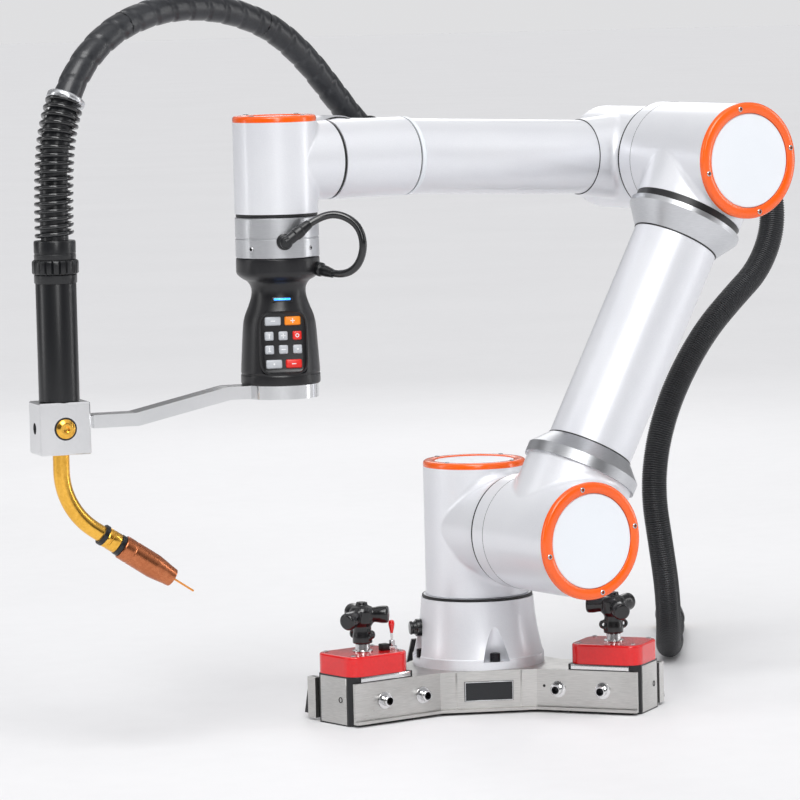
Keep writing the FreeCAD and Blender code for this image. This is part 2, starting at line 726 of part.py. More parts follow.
def make_handle():
    down = Vector(0, 0, -1)
    ring = flange_ring_diameter / 2
    outline = [(0, lower_ring_end), (ring, lower_ring_end), (ring, collar_end), (ring - 3, collar_end + 3),
               (neck_diameter / 2 + 3, neck_level - 6), (neck_diameter / 2, neck_level),
               (neck_diameter / 2 + 2, neck_level + 10), (waist_diameter / 2, waist_level),
               (belly_diameter / 2 - 1.5, (waist_level + belly_level) / 2),
               (belly_diameter / 2, belly_level), (handle_foot_diameter / 2, handle_end), (0, handle_end)]
    body = turned(outline, tool_point(0), down)
    frame = keypad_frame()
    rise = keypad_bottom - keypad_top
    face = block((0, -keypad_width / 2, 0), (30, keypad_width / 2, rise))
    face.Placement = frame
    parts["handle_body"] = body.cut(face)
    keys = []
    rows = ((10.8, (-9.3, 9.3), 17.0), (24.8, (-14.3, 0.0, 14.3), 10.0),
            (38.0, (-14.3, 0.0, 14.3), 10.0), (52.3, (-9.3, 9.3), 17.0))
    for level, spots, width in rows:
        for spot in spots:
            key = block((-key_seat, spot - width / 2, level - 5),
                        (key_thickness - key_seat, spot + width / 2, level + 5))
            across = [e for e in key.Edges if abs(e.tangentAt(e.FirstParameter).x) > 0.9]
            key = key.makeFillet(2.0, across)
            key.Placement = frame
            keys.append(key)
    for key in keys:
        parts["handle_body"] = parts["handle_body"].cut(key)
    parts["keypad_keys"] = Part.makeCompound(keys)
    depth = 3.0
    light = block((0, -light_width / 2, -light_height / 2), (60, light_width / 2, light_height / 2))
    light = placed(light, tool_point(light_level), keypad_direction)
    shell = turned([(neck_diameter / 2 - depth, neck_level), (neck_diameter / 2 + 0.6, neck_level),
                    (neck_diameter / 2 + 2.6, neck_level + 10), (neck_diameter / 2 + 8, waist_level),
                    (neck_diameter / 2 - depth, waist_level)], tool_point(0), down)
    light = light.common(shell)
    parts["handle_body"] = parts["handle_body"].cut(light)
    parts["handle_light"] = light


def make_bracket():
    top = handle_end
    disc = rod(bracket_disc_diameter, tool_point(top + bracket_thickness), Z_AXIS, bracket_thickness)
    half = bar_width / 2
    slim = bar_neck_width / 2
    reach = torch_distance - block_length / 2
    bar_reach = reach - bar_stub
    thick = bracket_thickness - 0.5
    side = [Vector(0, 0, 0), Vector(bar_crank_start, 0, 0), Vector(bar_crank_end, 0, -bar_drop),
            Vector(bar_reach, 0, -bar_drop), Vector(bar_reach, 0, -bar_drop - thick),
            Vector(bar_crank_end - 3, 0, -bar_drop - thick), Vector(bar_crank_start - 3, 0, -thick),
            Vector(0, 0, -thick)]
    bar = Part.Face(Part.makePolygon(side + side[:1])).extrude(Vector(0, bar_width, 0))
    bar.translate(Vector(0, -half, 0))
    stub = block((bar_reach - bar_stub, -slim, -bar_drop - thick + 1), (reach, slim, -bar_drop - 1))
    arm = placed(bar.fuse(stub), tool_point(top), bar_direction)
    parts["torch_bracket"] = disc.fuse(arm).removeSplitter()


def torch_point(height):
    """A point on the torch's axis, this far above the foot of the clamp block."""
    spot = tool_point(block_bottom) + plan(bar_direction) * torch_distance
    return spot + Vector(0, 0, height)


def make_clamp_block():
    body = block((-block_length / 2, -block_depth / 2, 0),
                 (block_length / 2, block_depth / 2, block_height))
    body = body.makeChamfer(1.2, body.Edges)
    hole = rod(side_hole_diameter, Vector(block_length / 2 - side_hole_depth, 0, block_height / 2), X_AXIS,
               side_hole_depth)
    bore = rod(torch_seat_diameter, Vector(0, 0, 0), Z_AXIS, block_height)
    parts["clamp_block"] = placed(body.cut(hole).cut(bore), torch_point(0), bar_direction)
    rim = clamp_bolt_diameter / 2
    out = plan(bar_direction + 90)
    face = torch_point(block_height / 2) + out * (block_depth / 2)
    parts["clamp_bolt"] = turned([(0, 0), (rim, 0), (rim, 1.5), (rim - 2.5, clamp_bolt_height),
                                  (2.5, clamp_bolt_height), (2.5, 1), (0, 1)], face, out)


def make_torch():
    seat = rod(torch_seat_diameter, torch_point(0), Z_AXIS, block_height)
    tube = rod(torch_tube_diameter, torch_point(block_height), Z_AXIS, torch_tube_length)
    parts["torch_body"] = seat.fuse(tube)
    level = block_height + torch_tube_length
    collars = [rod(torch_collar_diameter, torch_point(level), Z_AXIS, torch_collar_height)]
    level += torch_collar_height
    nut = rod(torch_nut_diameter, torch_point(level), Z_AXIS, torch_nut_height)
    edges = [e for e in nut.Edges if e.Curve.TypeId == "Part::GeomCircle"]
    collars.append(nut.makeChamfer(1.5, edges))
    level += torch_nut_height
    collars.append(rod(torch_sleeve_diameter, torch_point(level), Z_AXIS, torch_sleeve_height))
    solid = collars[0]
    for piece in collars[1:]:
        solid = solid.fuse(piece)
    return solid, level + torch_sleeve_height


def make_torch_neck(collars):
    ahead = plan(bar_direction + 180)
    top = torch_point(0)
    bend_start = top - Vector(0, 0, neck_drop)
    turn = math.radians(neck_turn)
    half = turn / 2

    def bend_point(angle):
        return (bend_start + ahead * (neck_radius * (1 - math.cos(angle)))
                - Vector(0, 0, neck_radius * math.sin(angle)))

    bend_end = bend_point(turn)
    way = ahead * math.sin(turn) - Vector(0, 0, math.cos(turn))
    tube_end = bend_end + way * neck_run
    path = Part.Wire([Part.makeLine(top, bend_start),
                      Part.Arc(bend_start, bend_point(half), bend_end).toShape(),
                      Part.makeLine(bend_end, tube_end)])
    section = Part.Wire(Part.makeCircle(neck_tube_diameter / 2, top, Vector(0, 0, -1)))
    tube = path.makePipeShell([section], True, True)
    first_ring = rod(insulator_diameter, tube_end, way, insulator_length)
    collar_start = tube_end + way * insulator_length
    collar = rod(neck_collar_diameter, collar_start, way, neck_collar_length)
    ring_start = collar_start + way * neck_collar_length
    second_ring = rod(insulator_diameter, ring_start, way, insulator_length)
    parts["torch_neck"] = Part.makeCompound([tube, collar])
    parts["torch_collars"] = Part.makeCompound([collars, first_ring, second_ring])
    nozzle_start = ring_start + way * insulator_length
    wide = nozzle_diameter / 2
    tip = nozzle_tip_diameter / 2
    parts["gas_nozzle"] = turned([(0, 0), (wide - 1, 0), (wide, 1), (wide, nozzle_length - nozzle_taper),
                                  (tip, nozzle_length), (tip - 2.5, nozzle_length),
                                  (tip - 2.5, nozzle_length - nozzle_recess),
                                  (0, nozzle_length - nozzle_recess)], nozzle_start, way)
    wire_start = nozzle_start + way * (nozzle_length - nozzle_recess)
    parts["welding_wire"] = rod(wire_diameter, wire_start, way, wire_length + nozzle_recess)


def make_hose():
    arcs = bends(hose_points)
    print("hose radii", " ".join(f"{arc[3]:.0f}" for arc in arcs))
    start = hose_points[0]
    first = 0
    for name, last in hose_ends.items():
        end = hose_points[-1] if last is None else halfway(hose_points[last], hose_points[last + 1])
        used = arcs[first:last]
        parts[name] = tube_along(name, path_through(start, used, end), hose_diameter)
        start = end
        first = last
    spring_end = halfway(hose_points[spring_points], hose_points[spring_points + 1])
    spring_path = path_through(hose_points[0], arcs[:spring_points], spring_end)
    parts["torch_spring"] = tube_along("torch_spring", spring_path, spring_diameter,
                                       hose_diameter + 2 * spring_clearance)
    clips = []
    tube = rod(forearm_tube_diameter, forearm_point(0), forearm_way, forearm_length)
    for number in clip_runs:
        axis = Vector(*halfway(hose_points[number], hose_points[number + 1]))
        along = Vector(*hose_points[number + 1]) - Vector(*hose_points[number])
        along.normalize()
        start = axis - along * (clip_width / 2)
        ring = pipe_ring(hose_diameter + 2 * clip_wall, hose_diameter + 0.4, start, along, clip_width)
        foot = block((axis.x - clip_width / 2, forearm_plane, axis.z - 9),
                     (axis.x + clip_width / 2, axis.y - hose_diameter / 2 - 1, axis.z + 9))
        core = rod(hose_diameter + 2 * clip_wall - 2, axis - along * 20, along, 40)
        clips.append(foot.cut(tube).cut(core).fuse(ring))
    parts["hose_clips"] = Part.makeCompound(clips)
    end = Vector(*hose_points[-1])
    way = end - Vector(*hose_points[-2])
    way.z = 0
    way.normalize()
    half = plug_diameter / 2
    parts["hose_plug"] = turned([(0, 0), (hose_diameter / 2 + 1.5, 0), (half, 8),
                                 (half, plug_length - plug_nose), (half - 3, plug_length - plug_nose),
                                 (half - 3, plug_length), (0, plug_length)], end, way)


def make_handle_cable():
    arcs = bends(cable_points)
    print("handle cable radii", " ".join(f"{arc[3]:.0f}" for arc in arcs))
    path = path_through(cable_points[0], arcs, cable_points[-1])
    parts["handle_cable"] = tube_along("handle_cable", path, cable_diameter)
    start = Vector(*cable_points[0])
    way = start - Vector(*cable_points[1])
    way.normalize()
    boss_way = plan(248)
    seat = tool_point(23) + boss_way * (flange_ring_diameter / 2)
    knee = tool_point(23) + boss_way * (flange_ring_diameter / 2 + 9)
    boss = rod(16, seat, boss_way, 4).fuse(rod(12, seat, boss_way, 12))
    body = rod(11, knee, start - knee, (start - knee).Length)
    end = Vector(*cable_points[-1])
    inward = end - Vector(*cable_points[-2])
    inward.normalize()
    gland = rod(11, end, inward, 20).fuse(rod(14, end + inward * 6, inward, 14))
    ring = rod(flange_ring_diameter, tool_point(collar_end + 20), Z_AXIS, collar_end + 20)
    parts["cable_plugs"] = Part.makeCompound([boss.fuse(body), gland.cut(ring)])


make_stand()
make_magnets()
make_knobs()
make_toggle_switch()
make_name_plate()
make_pedestal()
make_turret()
make_upper_arm()
make_forearm()
make_wrist_1()
make_wrist_2()
make_tool_flange()
make_handle()
make_bracket()
make_clamp_block()
torch_collars, torch_top = make_torch()
make_torch_neck(torch_collars)
make_hose()
make_handle_cable()

os.makedirs("parts", exist_ok=True)
for name, shape in parts.items():
    if not shape.isValid():
        print("not valid:", name)
    print(name, len(shape.Solids), "solids,", round(shape.Volume / 1000, 1), "cm3")
    shape.exportStep("parts/" + name + ".step")
print("torch top", torch_point(torch_top), "third axis", third_axis, "fourth axis", fourth_axis)
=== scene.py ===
import json
import math

import bmesh
import bpy
from mathutils import Matrix, Quaternion, Vector


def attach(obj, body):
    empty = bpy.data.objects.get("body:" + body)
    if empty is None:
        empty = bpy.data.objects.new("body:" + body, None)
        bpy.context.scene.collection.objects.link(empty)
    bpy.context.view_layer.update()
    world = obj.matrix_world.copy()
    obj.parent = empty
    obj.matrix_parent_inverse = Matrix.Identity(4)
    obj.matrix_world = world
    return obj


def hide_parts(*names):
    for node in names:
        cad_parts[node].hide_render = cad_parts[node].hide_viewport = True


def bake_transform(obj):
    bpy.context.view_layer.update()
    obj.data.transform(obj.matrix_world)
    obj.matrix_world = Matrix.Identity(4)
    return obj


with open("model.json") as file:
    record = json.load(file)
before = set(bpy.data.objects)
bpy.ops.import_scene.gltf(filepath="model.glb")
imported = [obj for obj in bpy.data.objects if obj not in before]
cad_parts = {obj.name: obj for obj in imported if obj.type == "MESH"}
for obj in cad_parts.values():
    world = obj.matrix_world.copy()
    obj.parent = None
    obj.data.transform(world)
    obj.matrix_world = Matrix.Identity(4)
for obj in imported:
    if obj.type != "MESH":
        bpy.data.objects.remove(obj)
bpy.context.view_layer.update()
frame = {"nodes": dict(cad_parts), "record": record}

# A six-axis welding robot arm on a three-legged magnetic stand. Sizes are in millimetres,
# in the frame of the model: +Z up, the forearm towards -X, the large caps facing -Y.
MM = 0.001
X, Y, Z = Vector((1, 0, 0)), Vector((0, 1, 0)), Vector((0, 0, 1))


def degrees(angle):
    return math.radians(angle)


def plan(angle):
    """The level direction at an angle from +X."""
    return Vector((math.cos(degrees(angle)), math.sin(degrees(angle)), 0))


# ---- where the joints are ----
SHOULDER = Vector((0, 0, 186))
ARM_LEAN, ARM_LENGTH, ARM_PLANE = 29, 420, -138
ARM_UP = Vector((math.sin(degrees(ARM_LEAN)), 0, math.cos(degrees(ARM_LEAN))))
ELBOW = SHOULDER + ARM_UP * ARM_LENGTH
FOREARM_TILT, FOREARM_LENGTH, FOREARM_PLANE = 2.5, 395, -10
FOREARM_WAY = Vector((-math.cos(degrees(FOREARM_TILT)), 0, math.sin(degrees(FOREARM_TILT))))
WRIST = ELBOW + FOREARM_WAY * FOREARM_LENGTH
WRIST_PLANE = -102
TOOL_AXIS = Vector((WRIST.x - 102, WRIST_PLANE, 0))
TOOL_JOINT = WRIST.z - 52
ARM_CAP_PLANE, FOREARM_CAP_PLANE = -199, 36
MAGNET_RADIUS, MAGNET_TOP = 148, 70
LEGS = {"left": 184, "right": 304, "rear": 64}


def tool_point(level):
    """The point on the tool's axis this far under the line of its joint."""
    return Vector((TOOL_AXIS.x, TOOL_AXIS.y, TOOL_JOINT - level))


# ---- camera, floor and light ----
def make_camera():
    turn, rise, roll, distance = degrees(-33.25), degrees(5.19), degrees(-1.36), 4.7
    right = Vector((math.cos(turn), math.sin(turn), 0))
    back = Vector((math.sin(turn) * math.cos(rise), -math.cos(turn) * math.cos(rise), math.sin(rise)))
    up = back.cross(right)
    aim = Vector((0, -0.07, 0.33)) - right * 0.1127 - up * 0.0096
    side = right * math.cos(roll) + up * math.sin(roll)
    top = up * math.cos(roll) - right * math.sin(roll)
    lens = bpy.data.cameras.new("camera")
    lens.lens, lens.sensor_width = 209.7, 36
    lens.clip_start, lens.clip_end = 0.1, 60
    camera = placed("camera", lens)
    turned_to = Matrix((side, top, back)).transposed().to_4x4()
    camera.matrix_world = Matrix.Translation(aim + back * distance) @ turned_to
    bpy.context.scene.camera = camera


def placed(name, data):
    """A new object in the scene that holds this data."""
    made = bpy.data.objects.new(name, data)
    bpy.context.scene.collection.objects.link(made)
    return made


def area_light(name, place, aim, size, power):
    light = bpy.data.lights.new(name, "AREA")
    light.shape, light.size, light.size_y = "RECTANGLE", size[0], size[1]
    light.energy = power
    lamp = placed(name, light)
    lamp.location = place
    lamp.rotation_euler = (Vector(aim) - Vector(place)).to_track_quat("-Z", "Y").to_euler()


class Value:
    """A socket of a node tree. Sums and products of values add the nodes that work them out."""

    def __init__(self, tree, socket):
        self.tree, self.socket = tree, socket

    @classmethod
    def node(cls, tree, kind, settings=None, inputs=None, output=0):
        made = tree.nodes.new(kind)
        for name, setting in (settings or {}).items():
            if name == "stops":
                ramp = made.color_ramp.elements
                while len(ramp) < len(setting):
                    ramp.new(0.5)
                for stop, (place, colour) in zip(ramp, setting):
                    stop.position, stop.color = place, (*colour, 1)
            else:
                setattr(made, name, setting)
        for name, given in (inputs or {}).items():
            if isinstance(given, cls):
                tree.links.new(given.socket, made.inputs[name])
            else:
                made.inputs[name].default_value = given
        return cls(tree, made.outputs[output] if made.outputs else None)

    def maths(self, operation, *others, clamp=False):
        inputs = dict(enumerate(others))
        return self.node(self.tree, "ShaderNodeMath", {"operation": operation, "use_clamp": clamp}, inputs)

    def __add__(self, other):
        return self.maths("ADD", self, other)

    __radd__ = __add__

    def __mul__(self, other):
        return self.maths("MULTIPLY", self, other)

    __rmul__ = __mul__

    def __sub__(self, other):
        return self.maths("SUBTRACT", self, other)

    def __rsub__(self, other):
        return self.maths("SUBTRACT", other, self)

    def clamped(self):
        return self.maths("ADD", self, 0.0, clamp=True)


def mixed(factor, first, second):
    """The colour between two colours."""
    return Value.node(factor.tree, "ShaderNodeMix", {"data_type": "RGBA"},
                      {0: factor, 6: opaque(first), 7: opaque(second)}, output=2)


def opaque(colour):
    return colour if isinstance(colour, Value) else (*colour, 1)


def noise(tree, scale, stretch=(1, 1, 1), detail=3.0):
    """Soft random values on the object's own coordinates."""
    place = Value.node(tree, "ShaderNodeTexCoord", output=3)
    place = Value.node(tree, "ShaderNodeMapping", inputs={"Vector": place, "Scale": stretch})
    return Value.node(tree, "ShaderNodeTexNoise",
                      inputs={"Vector": place, "Scale": scale, "Detail": detail})


def spread(value, low, high):
    """A value whose middle range is stretched over 0 to 1."""
    return ((value - low) * (1 / (high - low))).clamped()


FINISHES = {}


def finish(name, light, dark, rough, metal=0.0, grain=700, depth=0.00003, stretch=(1, 1, 1),
           patch=9, coat=0.0, rough_swing=0.08, glow=None, wear=None):
    """A finish whose colour, roughness and fine relief vary over the surface."""
    made = bpy.data.materials.new(name)
    made.use_nodes = True
    tree = made.node_tree
    tree.nodes.clear()
    broad = noise(tree, patch)
    fine = noise(tree, grain, stretch)
    colour = mixed(spread(broad * 0.6 + fine * 0.4, 0.38, 0.62), dark, light)
    if wear:
        scuffs = spread(noise(tree, 55, detail=6.0), 0.66, 0.72)
        colour = mixed(scuffs * 0.6, colour, wear)
    roughness = (rough - rough_swing / 2) + broad * (rough_swing * 0.6) + fine * (rough_swing * 0.4)
    relief = Value.node(tree, "ShaderNodeBump", inputs={"Strength": 0.35, "Distance": depth, "Height": fine})
    inputs = {"Base Color": colour, "Roughness": roughness, "Metallic": metal, "Normal": relief,
              "Coat Weight": coat, "Coat Roughness": 0.12, "Specular IOR Level": 0.5}
    if glow:
        inputs["Emission Color"] = mixed(spread(fine, 0.3, 0.7), light, glow)
        inputs["Emission Strength"] = 2.2
    shader = Value.node(tree, "ShaderNodeBsdfPrincipled", inputs=inputs)
    Value.node(tree, "ShaderNodeOutputMaterial", inputs={"Surface": shader})
    FINISHES[name] = made


def make_finishes():
    finish("white_paint", (0.80, 0.81, 0.84), (0.75, 0.76, 0.80), 0.36, metal=0.28, grain=900,
           depth=0.00002, coat=0.25)
    finish("cap_white", (0.80, 0.83, 0.87), (0.77, 0.80, 0.84), 0.42, grain=1200, depth=0.00002)
    finish("orange_ring", (0.95, 0.13, 0.004), (0.88, 0.10, 0.002), 0.24, grain=600, depth=0.00001, coat=0.4)
    finish("silver_flange", (0.66, 0.67, 0.69), (0.52, 0.53, 0.55), 0.34, metal=1.0, grain=500,
           stretch=(0.3, 0.3, 8))
    finish("dark_band", (0.014, 0.014, 0.016), (0.009, 0.009, 0.010), 0.36, grain=900)
    finish("stainless", (0.70, 0.69, 0.67), (0.50, 0.495, 0.48), 0.3, metal=1.0, grain=160,
           stretch=(0.6, 0.6, 14), depth=0.00004, rough_swing=0.16)
    finish("bright_steel", (0.80, 0.80, 0.80), (0.68, 0.68, 0.69), 0.16, metal=1.0, grain=500)
    finish("black_steel", (0.012, 0.012, 0.014), (0.006, 0.006, 0.007), 0.34, wear=(0.06, 0.06, 0.06))
    finish("black_screws", (0.03, 0.03, 0.034), (0.015, 0.015, 0.017), 0.28, metal=0.8)
    finish("red_cover", (0.78, 0.002, 0.004), (0.68, 0.001, 0.003), 0.2, grain=350, depth=0.00002, coat=0.45)
    finish("black_knob", (0.008, 0.008, 0.009), (0.004, 0.004, 0.005), 0.24, grain=1100, coat=0.3)
    finish("plate_dark", (0.010, 0.011, 0.014), (0.006, 0.007, 0.009), 0.3, grain=800)
    finish("plate_border", (0.75, 0.76, 0.78), (0.6, 0.61, 0.63), 0.28, metal=0.9, grain=600)
    finish("handle_black", (0.009, 0.009, 0.011), (0.005, 0.005, 0.006), 0.33, grain=1300, depth=0.00005)
    finish("key_grey", (0.52, 0.54, 0.57), (0.46, 0.48, 0.51), 0.3, grain=900)
    finish("key_orange", (1.0, 0.30, 0.01), (0.92, 0.24, 0.008), 0.3, grain=900)
    finish("key_red", (0.85, 0.03, 0.02), (0.74, 0.02, 0.015), 0.3, grain=900)
    finish("key_mark", (0.85, 0.86, 0.87), (0.78, 0.79, 0.80), 0.4, grain=900)
    finish("light_blue", (0.02, 0.22, 0.95), (0.015, 0.16, 0.8), 0.2, grain=400, glow=(0.05, 0.45, 1.0))
    finish("bracket_metal", (0.80, 0.80, 0.81), (0.68, 0.69, 0.70), 0.15, metal=1.0, grain=420,
           stretch=(6, 6, 0.5), depth=0.00002)
    finish("brass", (0.93, 0.52, 0.09), (0.72, 0.36, 0.04), 0.2, metal=1.0, grain=380, rough_swing=0.12)
    finish("copper", (0.58, 0.20, 0.09), (0.44, 0.135, 0.055), 0.27, metal=0.95, grain=300, patch=25,
           rough_swing=0.1)
    finish("wire_orange", (0.95, 0.42, 0.10), (0.85, 0.30, 0.05), 0.3, metal=0.6, grain=600)
    finish("torch_black", (0.009, 0.0095, 0.011), (0.005, 0.0055, 0.0065), 0.30, grain=900, depth=0.00004)
    finish("hose_wrap", (0.030, 0.032, 0.036), (0.016, 0.017, 0.020), 0.32, grain=420, depth=0.00008,
           patch=22, rough_swing=0.14)
    finish("hose_rubber", (0.022, 0.023, 0.026), (0.010, 0.011, 0.013), 0.34, grain=600, depth=0.00005)
    finish("spring_black", (0.010, 0.011, 0.013), (0.005, 0.0055, 0.0065), 0.2, grain=600, coat=0.5)
    finish("seal_black", (0.008, 0.008, 0.009), (0.005, 0.005, 0.006), 0.5, grain=900)
    finish("screw_steel", (0.66, 0.66, 0.67), (0.50, 0.50, 0.51), 0.25, metal=1.0, grain=900)
    finish("red_tip", (0.82, 0.004, 0.003), (0.70, 0.002, 0.002), 0.14, grain=400, coat=0.6)
    finish("floor_pale", (0.82, 0.82, 0.83), (0.80, 0.80, 0.81), 0.6, grain=30, depth=0.0001, patch=2)


def make_studio():
    floor = bmesh.new()
    bmesh.ops.create_grid(floor, x_segments=8, y_segments=8, size=60)
    data = bpy.data.meshes.new("floor")
    floor.to_mesh(data)
    floor.free()
    ground = placed("floor", data)
    data.materials.append(FINISHES["floor_pale"])
    area_light("key", (-1.5, -3.0, 2.2), (0, 0, 0.35), (0.7, 2.6), 30)
    area_light("side", (2.8, -1.9, 1.2), (0.1, 0, 0.3), (0.4, 2.4), 16)
    area_light("rim", (1.6, 2.6, 1.8), (0, 0, 0.35), (1.0, 1.6), 10)
    area_light("left_rim", (-2.8, 1.2, 1.2), (0, 0, 0.35), (0.5, 1.8), 10)
    sun = bpy.data.lights.new("daylight", "SUN")
    sun.energy, sun.angle = 1.9, degrees(35)
    lamp = placed("daylight", sun)
    lamp.rotation_euler = Vector((0.45, 0.6, -1.0)).to_track_quat("-Z", "Y").to_euler()
    world = bpy.data.worlds.new("studio")
    bpy.context.scene.world = world
    world.use_nodes = True
    tree = world.node_tree
    tree.nodes.clear()
    seen = Value.node(tree, "ShaderNodeLightPath", output=0)
    looking = Value.node(tree, "ShaderNodeTexCoord", output=0)
    east, north, height = (
        Value.node(tree, "ShaderNodeSeparateXYZ", inputs={"Vector": looking}, output=number)
        for number in range(3))
    dome = Value.node(tree, "ShaderNodeValToRGB",
                      {"stops": [(0.0, (0.50, 0.50, 0.51)), (0.12, (0.40, 0.40, 0.41)),
                                 (0.45, (0.55, 0.55, 0.56)), (1.0, (1.1, 1.1, 1.12))]},
                      {"Fac": height.clamped()})
    colour = mixed(seen, dome, (0.74, 0.74, 0.75))
    # bright and dark panels stand around the arm, told by how far a reflection turns from the front
    front = plan(237)
    share = (east * front.x + north * front.y) * 0.5 + 0.5
    panels = Value.node(tree, "ShaderNodeValToRGB",
                        {"stops": [(level, (bright, bright, bright)) for level, bright in
                                   ((0.0, 0.55), (0.15, 1.0), (0.32, 0.15), (0.5, 0.9), (0.66, 1.0),
                                    (0.80, 0.25), (0.93, 0.10), (1.0, 0.3))]},
                        {"Fac": share.clamped()})
    strength = panels + seen * (1 - panels)
    background = Value.node(tree, "ShaderNodeBackground", inputs={"Color": colour, "Strength": strength})
    Value.node(tree, "ShaderNodeOutputWorld", inputs={"Surface": background})
    bpy.context.scene.view_settings.view_transform = "Standard"


# ---- building in mesh ----
def side_ways(direction):
    """Two directions square to this one and to each other."""
    direction = Vector(direction).normalized()
    first = direction.cross(Z if abs(direction.z) < 0.9 else X).normalized()
    return first, direction.cross(first)


def piece(name, shells, body=None, replaces=(), smooth=38):
    """A mesh made of shells, each (points, faces, finish), that rides on a body."""
    kit = bmesh.new()
    names = []
    for points, faces, surface in shells:
        if surface not in names:
            names.append(surface)
        made = [kit.verts.new(Vector(p) * MM) for p in points]
        for face in faces:
            corners = [made[i] for i in face]
            if len(set(corners)) == len(corners):
                kit.faces.new(corners).material_index = names.index(surface)
    bmesh.ops.remove_doubles(kit, verts=kit.verts, dist=1e-6)
    bmesh.ops.dissolve_degenerate(kit, dist=1e-7, edges=kit.edges)
    open_edges = [e for e in kit.edges if e.is_boundary]
    if open_edges:
        bmesh.ops.holes_fill(kit, edges=open_edges, sides=0)
    bmesh.ops.recalc_face_normals(kit, faces=kit.faces)
    for face in kit.faces:
        face.smooth = True
    data = bpy.data.meshes.new(name)
    kit.to_mesh(data)
    kit.free()
    data.set_sharp_from_angle(angle=degrees(smooth))
    for surface in names:
        data.materials.append(FINISHES[surface])
    made = placed(name, data)
    if body:
        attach(made, body)
    if replaces:
        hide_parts(*replaces)
    return made


def softened(outline, radius):
    """The outline with its inner corners rounded."""
    steps = 3
    points = [Vector(p).to_3d() for p in outline]
    soft = [points[0]]
    for before, corner, after in zip(points, points[1:], points[2:]):
        back, ahead = before - corner, after - corner
        reach = min(radius, back.length * 0.45, ahead.length * 0.45)
        if reach < 1e-6:
            soft.append(corner)
            continue
        first = corner + back.normalized() * reach
        last = corner + ahead.normalized() * reach
        for step in range(steps + 1):
            t = step / steps
            soft.append(first * (1 - t) ** 2 + corner * (2 * t * (1 - t)) + last * t ** 2)
    soft.append(points[-1])
    return [(p.x, p.y) for p in soft]


def lathe(outline, start, direction, surface, soft=0.0, count=72, ring=False, radius_at=None):
    """A shell turned about the line from start, from (radius, distance) pairs.

    A ring's outline closes on itself.
    """
    direction = Vector(direction).normalized()
    first, second = side_ways(direction)
    if soft:
        outline = softened(outline, soft)
    points, faces = [], []
    for radius, distance in outline:
        for step in range(count):
            angle = 2 * math.pi * step / count
            reach = radius_at(radius, distance, angle) if radius_at else radius
            points.append(start + direction * distance
                          + (first * math.cos(angle) + second * math.sin(angle)) * reach)
    rows = len(outline)
    for row in range(rows if ring else rows - 1):
        below, above = row * count, (row + 1) % rows * count
        for step in range(count):
            after = (step + 1) % count
            faces.append((below + step, below + after, above + after, above + step))
    return points, faces, surface


def flat_share(angle):
    """How much of a hexagon's reach its flats keep at this angle."""
    return math.cos(angle % (math.pi / 3) - math.pi / 6)


def hexed(width, distance, angle):
    """The reach of a hexagon of this width across its flats."""
    return 0.5 / flat_share(angle) * width


def slab(low, high, place, surface, bevel=0.8, steps=2):
    """A box with softened edges, set by a matrix."""
    kit = bmesh.new()
    middle = (Vector(low) + Vector(high)) / 2
    size = Vector(high) - Vector(low)
    bmesh.ops.create_cube(kit, size=1, matrix=Matrix.Translation(middle) @ Matrix.Diagonal((*size, 1)))
    if bevel:
        bmesh.ops.bevel(kit, geom=kit.edges[:], offset=bevel, segments=steps, affect="EDGES", profile=0.5)
    kit.verts.index_update()
    points = [place @ v.co for v in kit.verts]
    faces = [[v.index for v in f.verts] for f in kit.faces]
    kit.free()
    return points, faces, surface


def frame_at(origin, out):
    """A matrix whose X points out and whose Z is as near to upright as can be."""
    out = out.normalized()
    across = Z.cross(out).normalized()
    return Matrix.Translation(origin) @ Matrix((out, across, out.cross(across))).transposed().to_4x4()


def settled(made):
    """The mesh of a piece once its modifiers are part of it."""
    bpy.context.view_layer.update()
    done = bpy.data.meshes.new_from_object(made.evaluated_get(bpy.context.evaluated_depsgraph_get()))
    made.modifiers.clear()
    made.data = done
    return done


def screw_head(place, direction, diameter, height, surface, socket=0.5, washer=0.0):
    """A round head with a hexagonal socket, and a washer under it."""
    rim = diameter / 2
    edge = diameter * 0.08
    washer_height = 1.2
    shells = []
    if washer:
        outline = [(0, 0), (washer / 2, 0), (washer / 2, washer_height), (0, washer_height)]
        shells.append(lathe(outline, place, direction, surface, soft=0.3, count=32))
        place = place + direction.normalized() * washer_height
    mouth = (rim * (socket + 0.18), height)
    head = [(0, 0), (rim, 0), (rim, height - edge), (rim - edge, height), mouth]
    shells.append(lathe(head, place, direction, surface, count=36))

    def blended_socket(radius, distance, angle):
        return radius if radius > rim * (socket + 0.1) else radius / flat_share(angle)

    floor = height * 0.35
    # the socket takes the dark black_screws finish whatever the head's finish: painted shade in the recess
    well = [mouth, (rim * socket, height), (rim * socket, floor), (0, floor)]
    shells.append(lathe(well, place, direction, "black_screws", count=36, radius_at=blended_socket))
    return shells


# ---- routes of the hose, the spring and the cable ----
def nurbs_curve(name, points):
    """A smooth curve led by the points, in metres."""
    data = bpy.data.curves.new(name, "CURVE")
    data.dimensions = "3D"
    spline = data.splines.new("NURBS")
    spline.points.add(len(points) - 1)
    for point, place in zip(spline.points, points):
        point.co = (*(Vector(place) * MM), 1)
    spline.order_u = 3
    spline.use_endpoint_u = True
    data.resolution_u = 14
    return data


def centreline(points):
    """The points of the smooth curve itself, in millimetres."""
    curve = placed("line", nurbs_curve("line", points))
    bpy.context.view_layer.update()
    mesh = bpy.data.meshes.new_from_object(curve)
    line = [v.co / MM for v in mesh.vertices]
    bpy.data.objects.remove(curve)
    bpy.data.meshes.remove(mesh)
    return line


